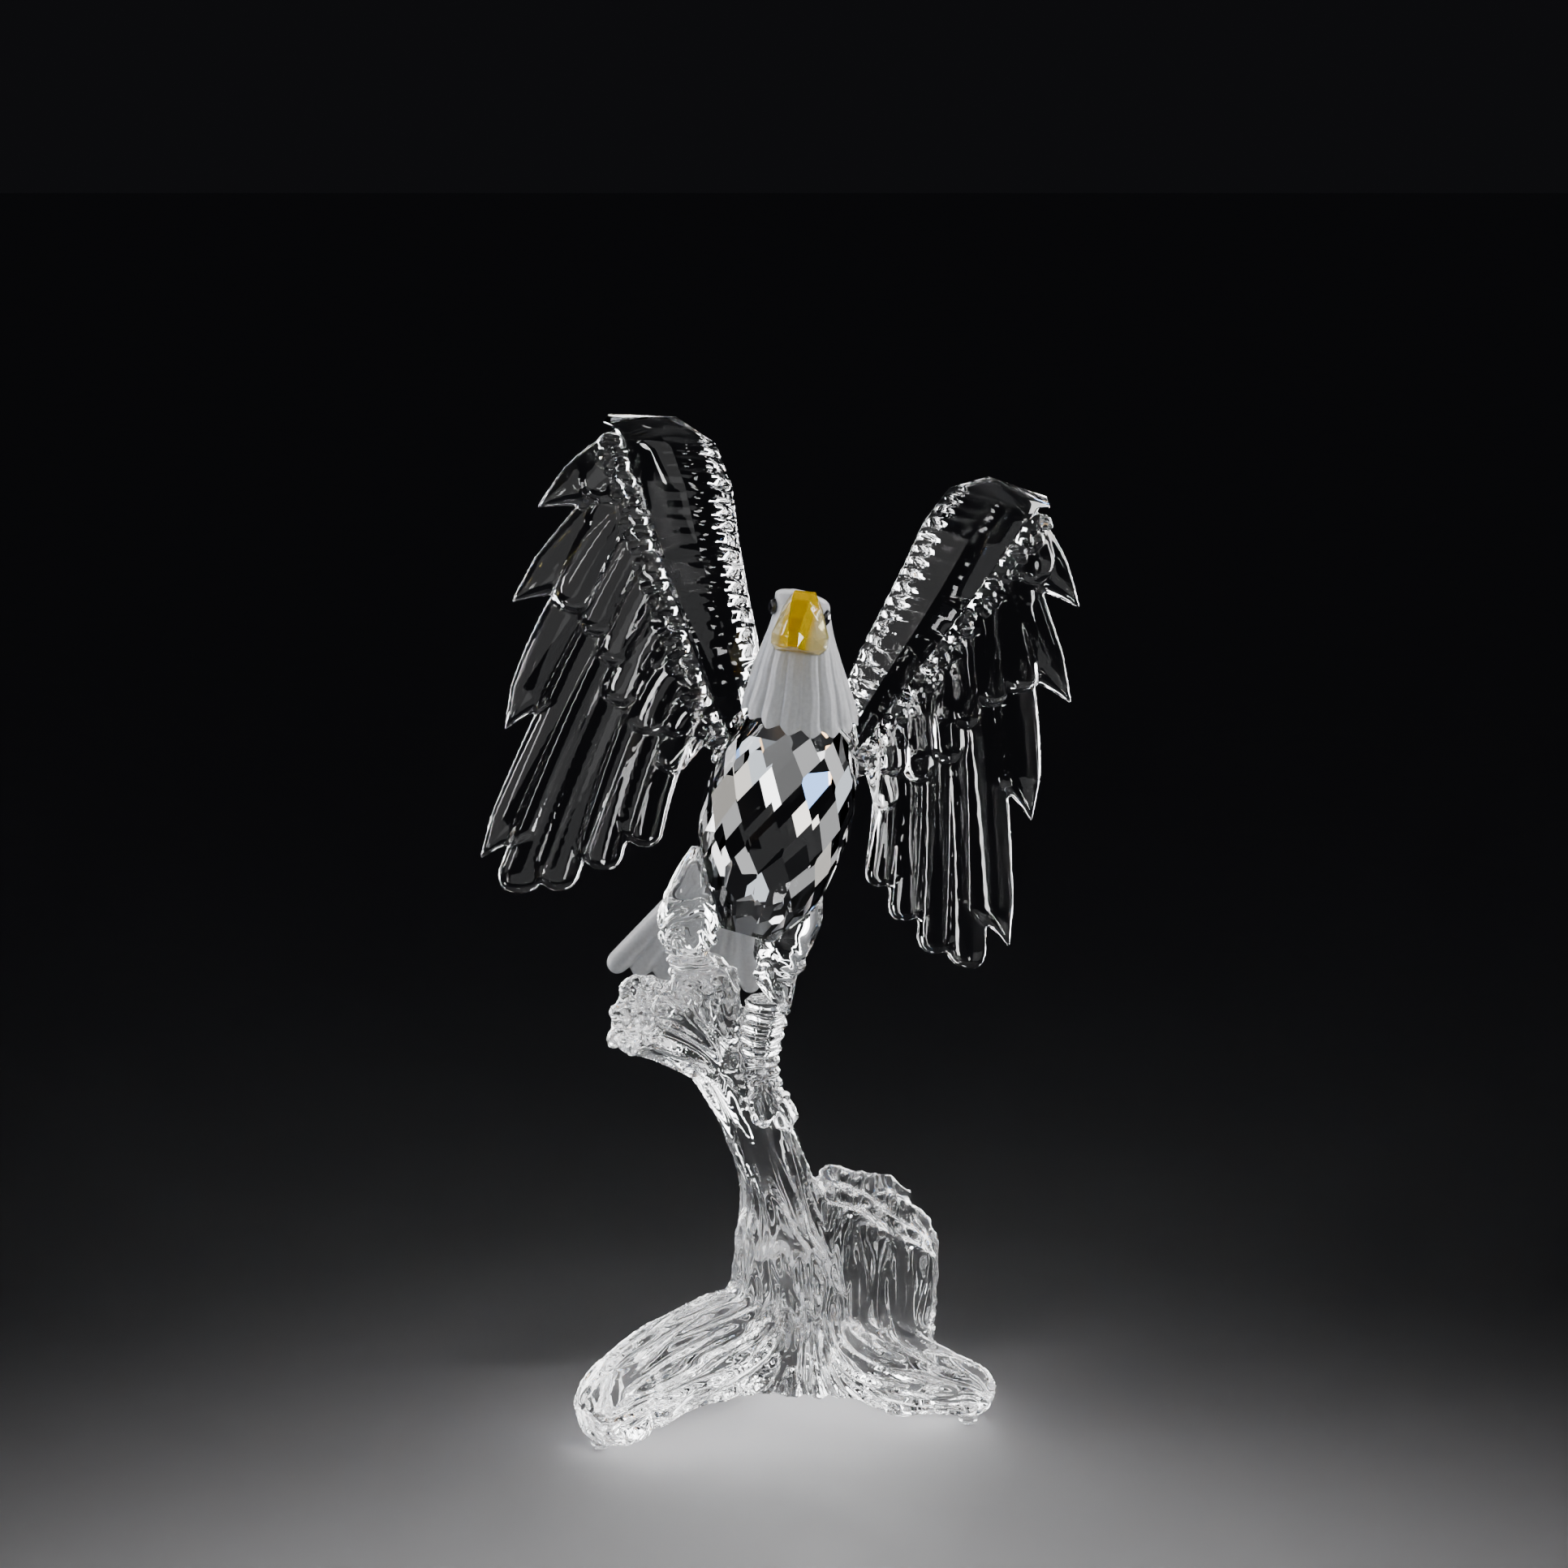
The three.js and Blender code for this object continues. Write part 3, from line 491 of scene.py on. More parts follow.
def chain(side):
    """The row of pressed beads along the outer edge of the bar."""
    outer = np.array([outer for outer, _, _ in BAR_STATIONS[:9]], float)
    steps = np.concatenate([[0], np.cumsum(np.linalg.norm(np.diff(outer, axis=0), axis=1))])
    beads = []
    for k in range(CHAIN_BEADS):
        s = lerp(1.0, steps[-1] - 1.5, k / (CHAIN_BEADS - 1))
        out, up = (np.interp(s, steps, outer[:, axis]) for axis in (0, 1))
        swing = 0.5 * math.sin(k * 2.4)
        center = on_sheet(side, out + 1.2 + swing * 0.6, up - 0.8, -3.1 + 0.5 * math.sin(k * 1.7))
        size = (2.0 + 0.4 * math.sin(k * 1.9), 1.7, 1.45 + 0.3 * math.cos(k * 2.3))
        beads.append(blob(center, size))
        center = on_sheet(side, out + 3.0 - swing * 0.5, up - 2.2 + swing, -2.5)
        beads.append(blob(center, (1.5 + 0.3 * math.sin(k * 2.9), 1.4, 1.3)))
    return beads


def wing(side, name):
    """One pressed wing: feathers, coverts and beads melted together, and the cut bar joined on."""
    parts = []
    for k, shape in enumerate(FLIGHT_FEATHERS):
        parts.append(feather(side, shape, FEATHER_THICKNESS + 1.0, 0.2 * (k % 2), False, 0.7))
    for shape in GREAT_COVERTS:
        parts.append(feather(side, shape, COVERT_THICKNESS + 1.4, COVERT_STEP * 1.35, True, 0.5))
    for root, bend, tip, width, lean in LESSER_COVERTS:
        wide = (root, bend, tip, width * 1.45, lean)
        parts.append(feather(side, wide, COVERT_THICKNESS + 0.8, COVERT_STEP * 1.3, True, 0.5))
    for shape in TERTIALS:
        parts.append(feather(side, shape, COVERT_THICKNESS + 1.2, 1.6 * COVERT_STEP, True, 0.5))
    parts += chain(side)
    parts = [(from_eagle(points), faces) for points, faces in parts]
    obj = cast(name, parts, WING_VOXEL, 3)
    points, faces = bar(side)
    edge = made_from(name + "_bar", (from_eagle(points), faces))
    corners = [vertex.co for vertex in edge.data.vertices]
    cut = BVHTree.FromPolygons(corners, [face.vertices[:] for face in edge.data.polygons])
    combine(obj, edge, "UNION")
    for node in ("body", "head"):
        combine(obj, grown_copy(node, SEAM), "DIFFERENCE")
    finish_skin(obj, 38)
    # The faces that lie on the cut bar stay flat
    for face in obj.data.polygons:
        found = cut.find_nearest(face.center, 0.0001)
        if found[0] is not None and (found[0] - face.center).length < 3e-6:
            face.use_smooth = False
    dress(obj, pressed_crystal)
    return obj


left_wing = wing(-1, "wing_left_feathers")
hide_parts("wing_left")
right_wing = wing(1, "wing_right_feathers")
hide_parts("wing_right")


# Head

# Rings of the hood: height, half width, front and back depth, and how far the front edge dips
HOOD = np.array([
    (0.04, 0.72, 0.72, 0.72, 0.25), (0.00, 0.99, 1.04, 0.94, 0.25), (0.13, 0.93, 0.98, 0.90, 0.22),
    (0.47, 0.70, 0.79, 0.77, 0.00), (0.68, 0.56, 0.74, 0.75, -0.12),
    (0.86, 0.47, 0.70, 0.72, -0.20), (0.96, 0.38, 0.60, 0.58, -0.20),
    (1.00, 0.20, 0.32, 0.30, -0.20),
])
HEAD_HEIGHT = 24.6
COLLAR_HALF = 12.2
CROWN_SHIFT = -4.4
FLUTES = 16


def hood():
    """The hood's fluted skin with its scalloped hem, two brows and two eye sockets."""
    around = FLUTES * 12
    angle = np.linspace(0, 2 * np.pi, around, endpoint=False)
    rows = np.vstack([HOOD[:1], spline(HOOD[1:], 60)])
    wave = np.cos(angle * FLUTES)
    rings = []
    for share, wide, front, back, dip in rows:
        fade = max(0.0, 1 - share * 1.5) ** 0.8
        strands = 0.07 * np.cos(angle * FLUTES * 3 + 1.2 * np.sin(share * 19)) * min(1.0, fade * 2)
        swell = fade * (0.92 * np.abs(np.cos(angle * FLUTES / 2)) ** 0.8 - 0.5) + strands
        depth = np.where(np.sin(angle) < 0, front, back) * COLLAR_HALF
        x = (wide * COLLAR_HALF + swell) * np.cos(angle) + CROWN_SHIFT * share
        y = (depth + swell) * np.sin(angle)
        rim = 1.1 * (1 - wave) / 2 * max(0.0, 1 - share * 14)
        rings.append(np.stack([x, y, share * HEAD_HEIGHT + dip * y + rim], axis=-1))
    points, faces = skin(np.array(rings))
    for side in (-1, 1):
        brow = np.array([CROWN_SHIFT * 0.86 + side * COLLAR_HALF * 0.42, -COLLAR_HALF * 0.36,
                         HEAD_HEIGHT * 0.93])
        gap = (points - brow) / (2.0, 5.2, 1.5)
        lift = np.exp(-np.sum(gap ** 2, axis=1))
        points = points + lift[:, None] * np.array([side * 0.75, -0.5, 0.7])
        socket = np.array([CROWN_SHIFT * 0.88 + side * COLLAR_HALF * 0.52, -COLLAR_HALF * 0.36,
                           HEAD_HEIGHT * 0.84])
        gap = (points - socket) / (2.0, 2.4, 1.9)
        points = points - np.exp(-np.sum(gap ** 2, axis=1))[:, None] * np.array([side * 0.35, 0, 0])
    return points, faces


hood_points, hood_faces = hood()
head = made_from("head_hood", (from_head(hood_points), hood_faces))
for cutter, gap in (("body", SEAM), ("beak", 0.1), ("eye_left", 0.05), ("eye_right", 0.05)):
    combine(head, grown_copy(cutter, gap), "DIFFERENCE")
finish_skin(head, 50)
dress(head, frosted)
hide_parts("head")


# Tail

TAIL_PLACE = np.array([-4.0, 12, -7])
TAIL_SLOPE = math.radians(25)
TAIL_SPREAD = 20
TAIL_SKEW = 3
TAIL_RIBS = 7
TAIL_LENGTH = 44
TAIL_LEFT_EXTRA = 2.4
RIB_HALF_WIDTH = 2.55
RIB_HALF_DEPTH = 2.4
RIB_END = 0.08
TAIL_VOXEL = 0.42


def tail_parts():
    """The ribs of the fan, every second one set back a little."""
    down = np.array([0, math.sin(TAIL_SLOPE), -math.cos(TAIL_SLOPE)])
    through = np.array([0, math.cos(TAIL_SLOPE), math.sin(TAIL_SLOPE)])
    parts = []
    for k in range(TAIL_RIBS):
        along = k / (TAIL_RIBS - 1)
        aim = math.radians(lerp(-TAIL_SPREAD, TAIL_SPREAD, along) - TAIL_SKEW)
        run = down * math.cos(aim) + np.array([math.sin(aim), 0, 0])
        wide = np.array([math.cos(aim), 0, 0]) - down * math.sin(aim)
        aside = along * 2 - 1
        reach = TAIL_LENGTH * lerp(0.92, 1, abs(aside)) + TAIL_LEFT_EXTRA * (1 - aside) / 2
        layer = (k % 2) * 0.5
        round_end = 1 - RIB_END * np.cos(np.linspace(0, np.pi / 2, 9))[1:]
        t = np.concatenate([np.linspace(-0.1, 1 - RIB_END, 24), round_end])
        end = np.clip((t - (1 - RIB_END)) / RIB_END, 0, 1)
        share = np.interp(t, (-0.1, 0.55, 0.93), (0.42, 0.86, 1))
        share = share * np.sqrt(np.maximum(1 - end ** 2.4, 0.01))
        thick = RIB_HALF_DEPTH * np.sqrt(np.maximum(1 - end ** 4, 0.05))
        angle = np.linspace(0, 2 * np.pi, 20, endpoint=False)
        rings = (TAIL_PLACE + t[:, None, None] * reach * run
                 + (np.cos(angle) * RIB_HALF_WIDTH)[None, :, None] * share[:, None, None] * wide
                 + (np.sin(angle)[None, :, None] * thick[:, None, None] + layer) * through)
        parts.append(skin(rings))
    return parts


fan = [(from_eagle(points), faces) for points, faces in tail_parts()]
tail = cast("tail_fan", fan, TAIL_VOXEL, 3)
combine(tail, grown_copy("body", SEAM), "DIFFERENCE")
finish_skin(tail, 50)
dress(tail, frosted)
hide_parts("tail")


# Thighs

LEFT_DROP = [(0, 0.16), (0.22, 0.55), (0.5, 0.9), (0.72, 1), (0.88, 0.9), (1, 0.66)]
RIGHT_DROP = [(0, 0.8), (0.3, 1), (0.62, 0.92), (0.86, 0.78), (1, 0.66)]


def thigh(name, hip, ankle, width, profile, slant, seed):
    """A drop with soft ripples of down over its lower half and a flat polished foot."""
    hip, ankle = np.array(hip), np.array(ankle)
    axis = ankle - hip
    length = np.linalg.norm(axis)
    side = np.cross((0, -1, 0), axis)
    side = side / np.linalg.norm(side)
    front = np.cross(axis, side)
    front = front / np.linalg.norm(front)
    rows = spline(profile, 50)
    around = 72
    angle = np.linspace(0, 2 * np.pi, around, endpoint=False)
    rings = []
    for t, share in rows:
        level = np.full(around, t * 3.0)
        at = np.stack([np.cos(angle) * 1.3 + seed, np.sin(angle) * 1.3, level], axis=-1)
        wave = noise3(at, seed)
        crest = np.abs(np.sin(t * 15 + 3.0 * wave + 1.2 * np.cos(angle * 2 + seed)))
        ripple = 1.15 * crest * np.clip((t - 0.3) * 2.2, 0, 1) * np.clip((1 - t) * 12, 0, 1)
        radius = share * width / 2 - 0.15 + 0.3 * wave - ripple
        lower = slant * np.cos(angle) * share * width / 2 * (max(0.0, t - 0.84) / 0.16)
        ring = (hip + axis * t + lower[:, None] * axis / length
                + (radius * np.cos(angle))[:, None] * side
                + (radius * 0.86 * np.sin(angle))[:, None] * front)
        rings.append(ring)
    points, faces = skin(np.array(rings))
    obj = made_from(name, (from_eagle(points), faces))
    combine(obj, grown_copy("body", SEAM), "DIFFERENCE")
    finish_skin(obj, 40)
    dress(obj, pressed_crystal)
    return obj


left_thigh = thigh(
    "thigh_left_down", (-16.2, -4.2, -9.4), (-13.6, -4.4, -32.0), 14, LEFT_DROP, 0, 3)
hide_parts("thigh_left")
right_thigh = thigh(
    "thigh_right_down", (7.4, -0.6, -12.6), (6.8, -0.6, -39.6), 13.4, RIGHT_DROP, 0.75, 8)
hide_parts("thigh_right")


# Driftwood

# Limbs of the wood, each as rows of place and radius
TRUNK = [
    (3, 13, -2, 18), (2, 13, 12, 16), (1.4, 13, 24, 13.6), (0.2, 12.5, 34, 10.8),
    (-1, 11.5, 47.7, 8), (-4, 9.5, 58.3, 7.3), (-7.9, 7.5, 68.4, 6.8), (-11.9, 5, 77.3, 7.2),
    (-15.1, 3, 85, 7.2), (-16.2, -1, 92.5, 7), (-16.6, -4.5, 98.6, 6.8), (-17, -6.5, 101.8, 5.4),
]
LEFT_ROOT = [
    (4, 13, 14, 12), (-10, 7, 14.5, 12.6), (-20, 0.5, 13, 11.6), (-29, -7.5, 10.6, 10.8),
    (-36.5, -14.5, 7.8, 9), (-41, -18, 6.2, 5.5),
]
RIGHT_ROOT = [
    (3, 13, 10, 12), (16, 9, 9.6, 11.2), (27, 5.5, 8, 9.2), (36, 3.5, 6.6, 7),
    (41.5, 2.6, 5.8, 5.5), (44.8, 2.2, 5, 3),
]
BACK_ROOT = [
    (3, 14, 11, 13), (2, 23, 8, 11), (1, 31, 6, 8.4), (0.5, 36.5, 4.8, 5.5), (0.3, 39, 4.2, 2.6),
]
STUMP = [
    (-13, 5.5, 79.5, 6.6), (-18.5, 1.5, 85, 7.6), (-24.4, -3.5, 89.4, 8.1), (-30, -8.5, 92.6, 8.2),
]
STUB_SPINE = [(20, 13, 4, 10), (20, 13, 24, 10), (20, 13, 44, 10)]
# Where the grain turns down over the blunt ends of the two front roots
LEFT_END = [(-42.5, -19.5, 14, 7), (-43, -20, 2, 7)]
RIGHT_END = [(44.5, 2.2, 9, 5), (45.5, 2.2, 2, 5)]
# The wood that fills the fork between trunk and stub
WEB = [(6, 11.5, 12, 10.8), (7, 12, 24, 9.2), (5.6, 12.2, 36, 7), (3.6, 12, 44, 5)]
RIGHT_LEG = [
    (-3.1, -0.6, 94, 4.7), (-4.4, -0.4, 87.6, 4.6), (-5.2, 0.8, 80.6, 4.2), (-4.4, 1.8, 74, 4),
    (-2.4, 2.4, 69, 3.6),
]
LEFT_LEG = [(-20.2, -7.5, 106.2, 4.4), (-18.6, -6, 100, 5.2), (-17.4, -3.4, 95, 5.4)]
TOES = [
    [(-4.6, -1.2, 77), (-5.2, -3, 71.5), (-3.8, -2.6, 66.4)],
    [(-3, -0.6, 74), (-0.8, -1, 69.6), (1.4, 0, 64.8)],
    [(-2.4, 1.6, 73), (0.6, 3, 69.5), (2, 5.4, 65.6)],
    [(-17.5, -7, 102), (-12.6, -7.2, 99.4), (-11.6, -5, 92.4)],
    [(-18.6, -8.4, 102), (-16, -11.2, 98.6), (-15.6, -9.6, 92)],
    [(-20, -8.4, 102), (-21.6, -11.2, 98.6), (-22, -9.6, 93)],
]
ARCH_RISE = 5.6
ARCH_PLACE = -8
ARCH_HALF = 30
# The wood ends this high, on top of the bumpers
GROUND = 1.8 + SEAM
STUB_PLACE = (20, 13)
STUB_HALF = (13, 7.4)
STUB_FOOT = 6
STUB_HEIGHT = 44
GRAIN_PITCH = 3.6
GRAIN_REACH = 17.0
GRAIN_DEPTH = 1.35
FINE_PITCH = 2.4
FINE_REACH = 12.0
FINE_DEPTH = 0.14
# The waist of the trunk is smoother than the rest
WAIST_LEVEL = 62
# The fold behind the blunt end of the left root
FOLD_PLACE = (-32.5, -11.5, 12)
FOLD_ACROSS = np.array([-0.74, -0.67, 0.05])
LEG_RING_PITCH = 2.6
LEG_RING_DEPTH = 0.36
LIMB_VOXEL = 0.7
WOOD_VOXEL = 0.52


def tube(rows, around=40, steps=None):
    """A round limb along rows of place and radius."""
    path = spline(rows, steps or 14 * (len(rows) - 1))
    _, normal, binormal = frames_along(path[:, :3])
    angle = np.linspace(0, 2 * np.pi, around, endpoint=False)
    reach = path[:, 3][:, None, None]
    rings = (path[:, None, :3] + reach * np.cos(angle)[None, :, None] * normal[:, None]
             + reach * np.sin(angle)[None, :, None] * binormal[:, None])
    return skin(rings)


def stub():
    """The broken-off stub: a sloping face with slanting bands inside a low rim."""
    around = 96
    angle = np.linspace(0, 2 * np.pi, around, endpoint=False)
    rim_x = STUB_HALF[0] * np.sign(np.cos(angle)) * np.abs(np.cos(angle)) ** 0.7
    rim_y = STUB_HALF[1] * np.sign(np.sin(angle)) * np.abs(np.sin(angle)) ** 0.7

    def top(x, y, share):
        swell = np.cos((x - 4) / 7) + 0.2 * share * np.sin(5 * angle)
        slope = STUB_HEIGHT - 0.64 * x + 0.5 * y + 2.4 * swell
        humps = np.maximum(0.65 * np.exp(-((x + 10.5) / 3.5) ** 2), np.exp(-((x - 5.5) / 4.5) ** 2))
        bands = 1.3 * np.sin(1.25 * y + 0.2 * x + 1.1 * np.sin(0.5 * x))
        ridge = 2.8 * humps * np.maximum(y, 0) / STUB_HALF[1]
        return slope + ridge - (1 - share ** 6) * (0.9 + bands)

    rings = []
    for t in np.linspace(0, 1, 12):
        x, y = rim_x * lerp(0.92, 1, t), rim_y * lerp(0.92, 1, t)
        level = lerp(STUB_FOOT, top(x, y, 1.0), t)
        rings.append(np.stack([STUB_PLACE[0] + x, STUB_PLACE[1] + y, level], axis=-1))
    for share in np.linspace(0.94, 0.04, 14):
        x, y = rim_x * share, rim_y * share
        rings.append(np.stack([STUB_PLACE[0] + x, STUB_PLACE[1] + y, top(x, y, share)], axis=-1))
    return skin(np.array(rings))


def toe(points):
    """A knuckled toe that thins to its claw."""
    t = np.linspace(0, 1, 19)
    path = spline(points, 18)
    knuckle = 0.82 + 0.2 * np.abs(np.sin(t * np.pi * 3.2 + 0.4))
    radius = 2.5 * knuckle * np.interp(t, (0, 0.75, 1), (1, 0.9, 0.3))
    return tube(np.column_stack([path, radius]), around=18, steps=36)


def broken_end():
    """Splinters and melted lumps on the stump's broken end."""
    end, before = np.array(STUMP[-1][:3], float), np.array(STUMP[-2][:3], float)
    axis = (end - before) / np.linalg.norm(end - before)
    side = np.cross((0, 0, 1), axis)
    side = side / np.linalg.norm(side)
    up = np.cross(axis, side)
    parts = []
    for k in range(6):
        spread = 6 * math.sqrt(k / 6)
        start = end + spread * (math.cos(k * 2.4) * side + math.sin(k * 2.4) * up) - 3 * axis
        size = (5 + 3 * ((k * 7 % 5) / 4)) / 2 + 3.2
        rows = [(*(start + axis * size * t), lerp(2.9, 0.5, t ** 1.5)) for t in (0, 0.35, 0.7, 1)]
        parts.append(tube(rows, around=12, steps=10))
    for k in range(17):
        a = k * 2 * math.pi / 17
        place = end + (7.0 + 0.7 * math.sin(3.1 * k)) * (math.cos(a) * side + math.sin(a) * up)
        place = place + axis * (0.2 + 0.9 * math.sin(k * 2.3))
        size = 1.7 + 0.5 * math.sin(k * 1.3)
        parts.append(blob(place, (size, size, size)))
    return parts


def beads():
    """The ridge of beads where the stump grows out of the trunk."""
    parts = []
    for k in range(9):
        u = k / 8
        x = lerp(-19.3, -10.5, u)
        z = lerp(79.5, 81.5, u) - 3.2 * math.sin(math.pi * u)
        y = 4.6 - math.sqrt(max(0.1, 7.3 ** 2 - (x + 12.3) ** 2))
        size = 1.15 + 0.2 * math.sin(2.1 * k)
        parts.append(blob((x, y, z), (size * 1.1, size, size)))
    return parts


def flow_field():
    """The direction of the grain on a coarse grid: down the trunk and out along the roots."""
    low, high, cell = np.array([-52.0, -30, -8]), np.array([56.0, 50, 112]), 3.0
    counts = np.ceil((high - low) / cell).astype(int) + 1
    axes = [low[k] + cell * np.arange(counts[k]) for k in range(3)]
    nodes = np.stack(np.meshgrid(*axes, indexing="ij"), axis=-1).reshape(-1, 3)
    flow = np.zeros_like(nodes)
    for rows, sign in ((TRUNK, -1), (LEFT_ROOT, 1), (RIGHT_ROOT, 1), (BACK_ROOT, 1), (STUMP, -1),
                       (STUB_SPINE, -1), (WEB, -1), (LEFT_END, 1), (RIGHT_END, 1)):
        path = spline(rows, 8 * (len(rows) - 1))
        tangent, _, _ = frames_along(path[:, :3])
        gap = nodes[:, None, :] - path[None, :, :3]
        reach = np.sqrt(np.sum(gap * gap, axis=2)) / np.maximum(path[None, :, 3], 2)
        weight = np.exp(-5 * reach)
        flow += sign * weight @ tangent / 8
    flow /= np.maximum(np.linalg.norm(flow, axis=1), 1e-12)[:, None]
    return low, cell, counts, flow.reshape(*counts, 3)


def sample(field, points):
    """The direction of the grain at each point, between the places of the coarse grid."""
    low, cell, counts, flow = field
    at = np.clip((points - low) / cell, 0, counts - 1.001)
    base = at.astype(int)
    part = at - base
    total = np.zeros_like(points)
    for corner in np.ndindex(2, 2, 2):
        i, j, k = (base + corner).T
        weight = np.prod(np.where(corner, part, 1 - part), axis=1)
        total += weight[:, None] * flow[i, j, k]
    return total / np.maximum(np.linalg.norm(total, axis=1), 1e-9)[:, None]


# The noise is turned, so that its cells lie along none of the wood's directions
ASKEW = turn("X", 31) @ turn("Y", 23) @ turn("Z", 37)


def streaks(field, points, pitch, reach, seed):
    """Noise smeared along the flow, about -2 to 2."""
    steps = 9
    total = noise3(points @ ASKEW / pitch, seed)
    for sign in (-1, 1):
        at = points.copy()
        for k in range(1, steps + 1):
            at = at + sign * reach / steps * sample(field, at)
            weight = math.cos(k / (steps + 1) * math.pi / 2) ** 2
            total = total + weight * noise3(at @ ASKEW / pitch, seed)
    return total / np.std(total)


def leg_rings(points):
    """Raised rings on the eagle's legs, and how much of each point is leg."""
    height, share = np.zeros(len(points)), np.zeros(len(points))
    for rows in (RIGHT_LEG, LEFT_LEG):
        path = spline(rows, 24 * (len(rows) - 1))
        gap = points[:, None, :] - path[None, :, :3]
        far = np.sqrt(np.sum(gap * gap, axis=2))
        near = np.argmin(far, axis=1)
        reach = far[np.arange(len(points)), near] / path[near, 3]
        inside = np.clip((1.5 - reach) / 0.3, 0, 1)
        inside = inside * np.clip((points[:, 2] - path[:, 2].min() + 1) / 2, 0, 1)
        wave = np.cos(points[:, 2] * 2 * np.pi / LEG_RING_PITCH + 2.0 * noise3(points * 0.22, 60))
        height = np.where(inside > share, wave, height)
        share = np.maximum(share, inside)
    return height, share


def grain(points, facing):
    """How far each point of the wood rises or sinks: long gouges that meet in ridges."""
    field = flow_field()
    broad = streaks(field, points, GRAIN_PITCH, GRAIN_REACH, 3)
    fine = streaks(field, points, FINE_PITCH, FINE_REACH, 11)
    gouge = 0.62 - np.minimum(np.abs(broad), 1.7) ** 0.85
    height = GRAIN_DEPTH * gouge + FINE_DEPTH * fine
    waist = np.exp(-(((points[:, 2] - WAIST_LEVEL) / 10) ** 2)) * (points[:, 0] < 6)
    height = height * (1 - 0.6 * waist)
    # Where the grain runs out through the surface it fades, and the back is a little plainer
    end_on = np.abs(np.sum(facing * sample(field, points), axis=1))
    height = height * np.clip((0.78 - end_on) / 0.2, 0.12, 1)
    height = height * (1 - 0.2 * np.clip((facing[:, 1] + 0.1) / 0.5, 0, 1))
    fold = (points - FOLD_PLACE) @ FOLD_ACROSS
    low_front = np.clip((19 - points[:, 2]) / 6, 0, 1) * (points[:, 1] < 0)
    height = height - 1.5 * np.exp(-(fold / 1.3) ** 2) * low_front
    rings, share = leg_rings(points)
    return height * (1 - share) + LEG_RING_DEPTH * rings * share


def ground_cutters():
    """The slab that cuts the wood off flat, and the low arch under its middle."""
    corners = np.array([(-80, -80), (80, -80), (80, 80), (-80, 80)], float)
    rings = [np.column_stack([corners, np.full(4, z)]) for z in (-60.0, GROUND)]
    slab = made_from("ground", skin(np.array(rings)), SHIFT)
    arch = blob((ARCH_PLACE, 0, GROUND), (ARCH_HALF, ARCH_HALF, ARCH_RISE), 48, 24)
    return slab, made_from("arch", arch, SHIFT)


limbs = [tube(rows) for rows in (TRUNK, LEFT_ROOT, RIGHT_ROOT, BACK_ROOT, STUMP, WEB)] + [stub()]
limbs = cast("limbs", limbs, LIMB_VOXEL, 24)
wood_parts = [(places(limbs), [tuple(face.vertices) for face in limbs.data.polygons])]
bpy.data.objects.remove(limbs)
wood_parts += [tube(RIGHT_LEG, 24), tube(LEFT_LEG, 24)]
wood_parts += [toe(points) for points in TOES]
wood_parts += broken_end() + beads()
wood_parts = [(points + SHIFT, faces) for points, faces in wood_parts]
wood = cast("driftwood_grain", wood_parts, WOOD_VOXEL, 4)
skin_points = places(wood)
skin_normals = normals(wood)
put(wood, skin_points + skin_normals * grain(skin_points - SHIFT, skin_normals)[:, None])
melt_grain = wood.modifiers.new("melt_grain", "SMOOTH")
melt_grain.factor = 0.5
melt_grain.iterations = 1
bake(wood)
for cutter in ground_cutters():
    combine(wood, cutter, "DIFFERENCE")
for node in ("thigh_left", "thigh_right"):
    combine(wood, grown_copy(node, SEAM), "DIFFERENCE")
finish_skin(wood, 45)
dress(wood, cast_crystal)
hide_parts("driftwood")


# The pieces that stay as cut


def keep(node, made, bevel):
    """A node that is shown as it was cut, with its edges broken by a bevel."""
    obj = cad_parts[node]
    obj.data.materials.clear()
    obj.data.materials.append(made)
    if bevel:
        edge = obj.modifiers.new("polish", "BEVEL")
        edge.width = bevel * MM
        edge.segments = 2
        edge.limit_method = "ANGLE"
        edge.angle_limit = math.radians(8)


keep("body", cut_crystal, 0.1)
keep("beak", beak_yellow, 0.1)
keep("eye_left", jet, 0)
keep("eye_right", jet, 0)
for foot in ("bumper_left", "bumper_right", "bumper_back"):
    keep(foot, soft_rubber, 0.1)


# Studio


def softbox(name, place, target, width, height, power, color=(1, 1, 1)):
    """A light panel that the camera itself does not see."""
    data = bpy.data.lights.new(name, "AREA")
    data.shape = "RECTANGLE"
    data.size = width
    data.size_y = height
    data.energy = power
    data.color = color
    obj = bpy.data.objects.new(name, data)
    obj.location = place
    obj.rotation_euler = (Vector(target) - Vector(place)).to_track_quat("-Z", "Y").to_euler()
    obj.visible_camera = False
    bpy.context.collection.objects.link(obj)
    return obj


FLOOR_CORNERS = [(-1500, -1300, 0), (1500, -1300, 0), (1500, 3000, 0), (-1500, 3000, 0)]
floor = make("floor", FLOOR_CORNERS, [(0, 1, 2, 3)])
pale, pale_shader = material("pale_floor", Base_Color=(0.62, 0.62, 0.63, 1))
_, pale_noise = relief(pale, pale_shader, 60, 0.03, 0.0005)
dusty(pale, pale_shader, pale_noise, 0.5, 0.62)
floor.data.materials.append(pale)
floor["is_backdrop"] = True

# The boxes light the figurine alone, so that the floor falls off into the dark. The cut body has
# panels of its own, and the frosted pieces would be too bright in the strong back boxes.
figurine_only = bpy.data.collections.new("figurine_only")
uncut_only = bpy.data.collections.new("uncut_only")
clear_only = bpy.data.collections.new("clear_only")
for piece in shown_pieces():
    figurine_only.objects.link(piece)
    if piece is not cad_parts["body"]:
        uncut_only.objects.link(piece)
        if piece not in (head, tail):
            clear_only.objects.link(piece)
WARM = (1.0, 0.62, 0.32)
COOL = (0.3, 0.52, 1.0)
LOW_AIM = (0, 0, 0.12)
MIDDLE_AIM = (0, 0, 0.14)
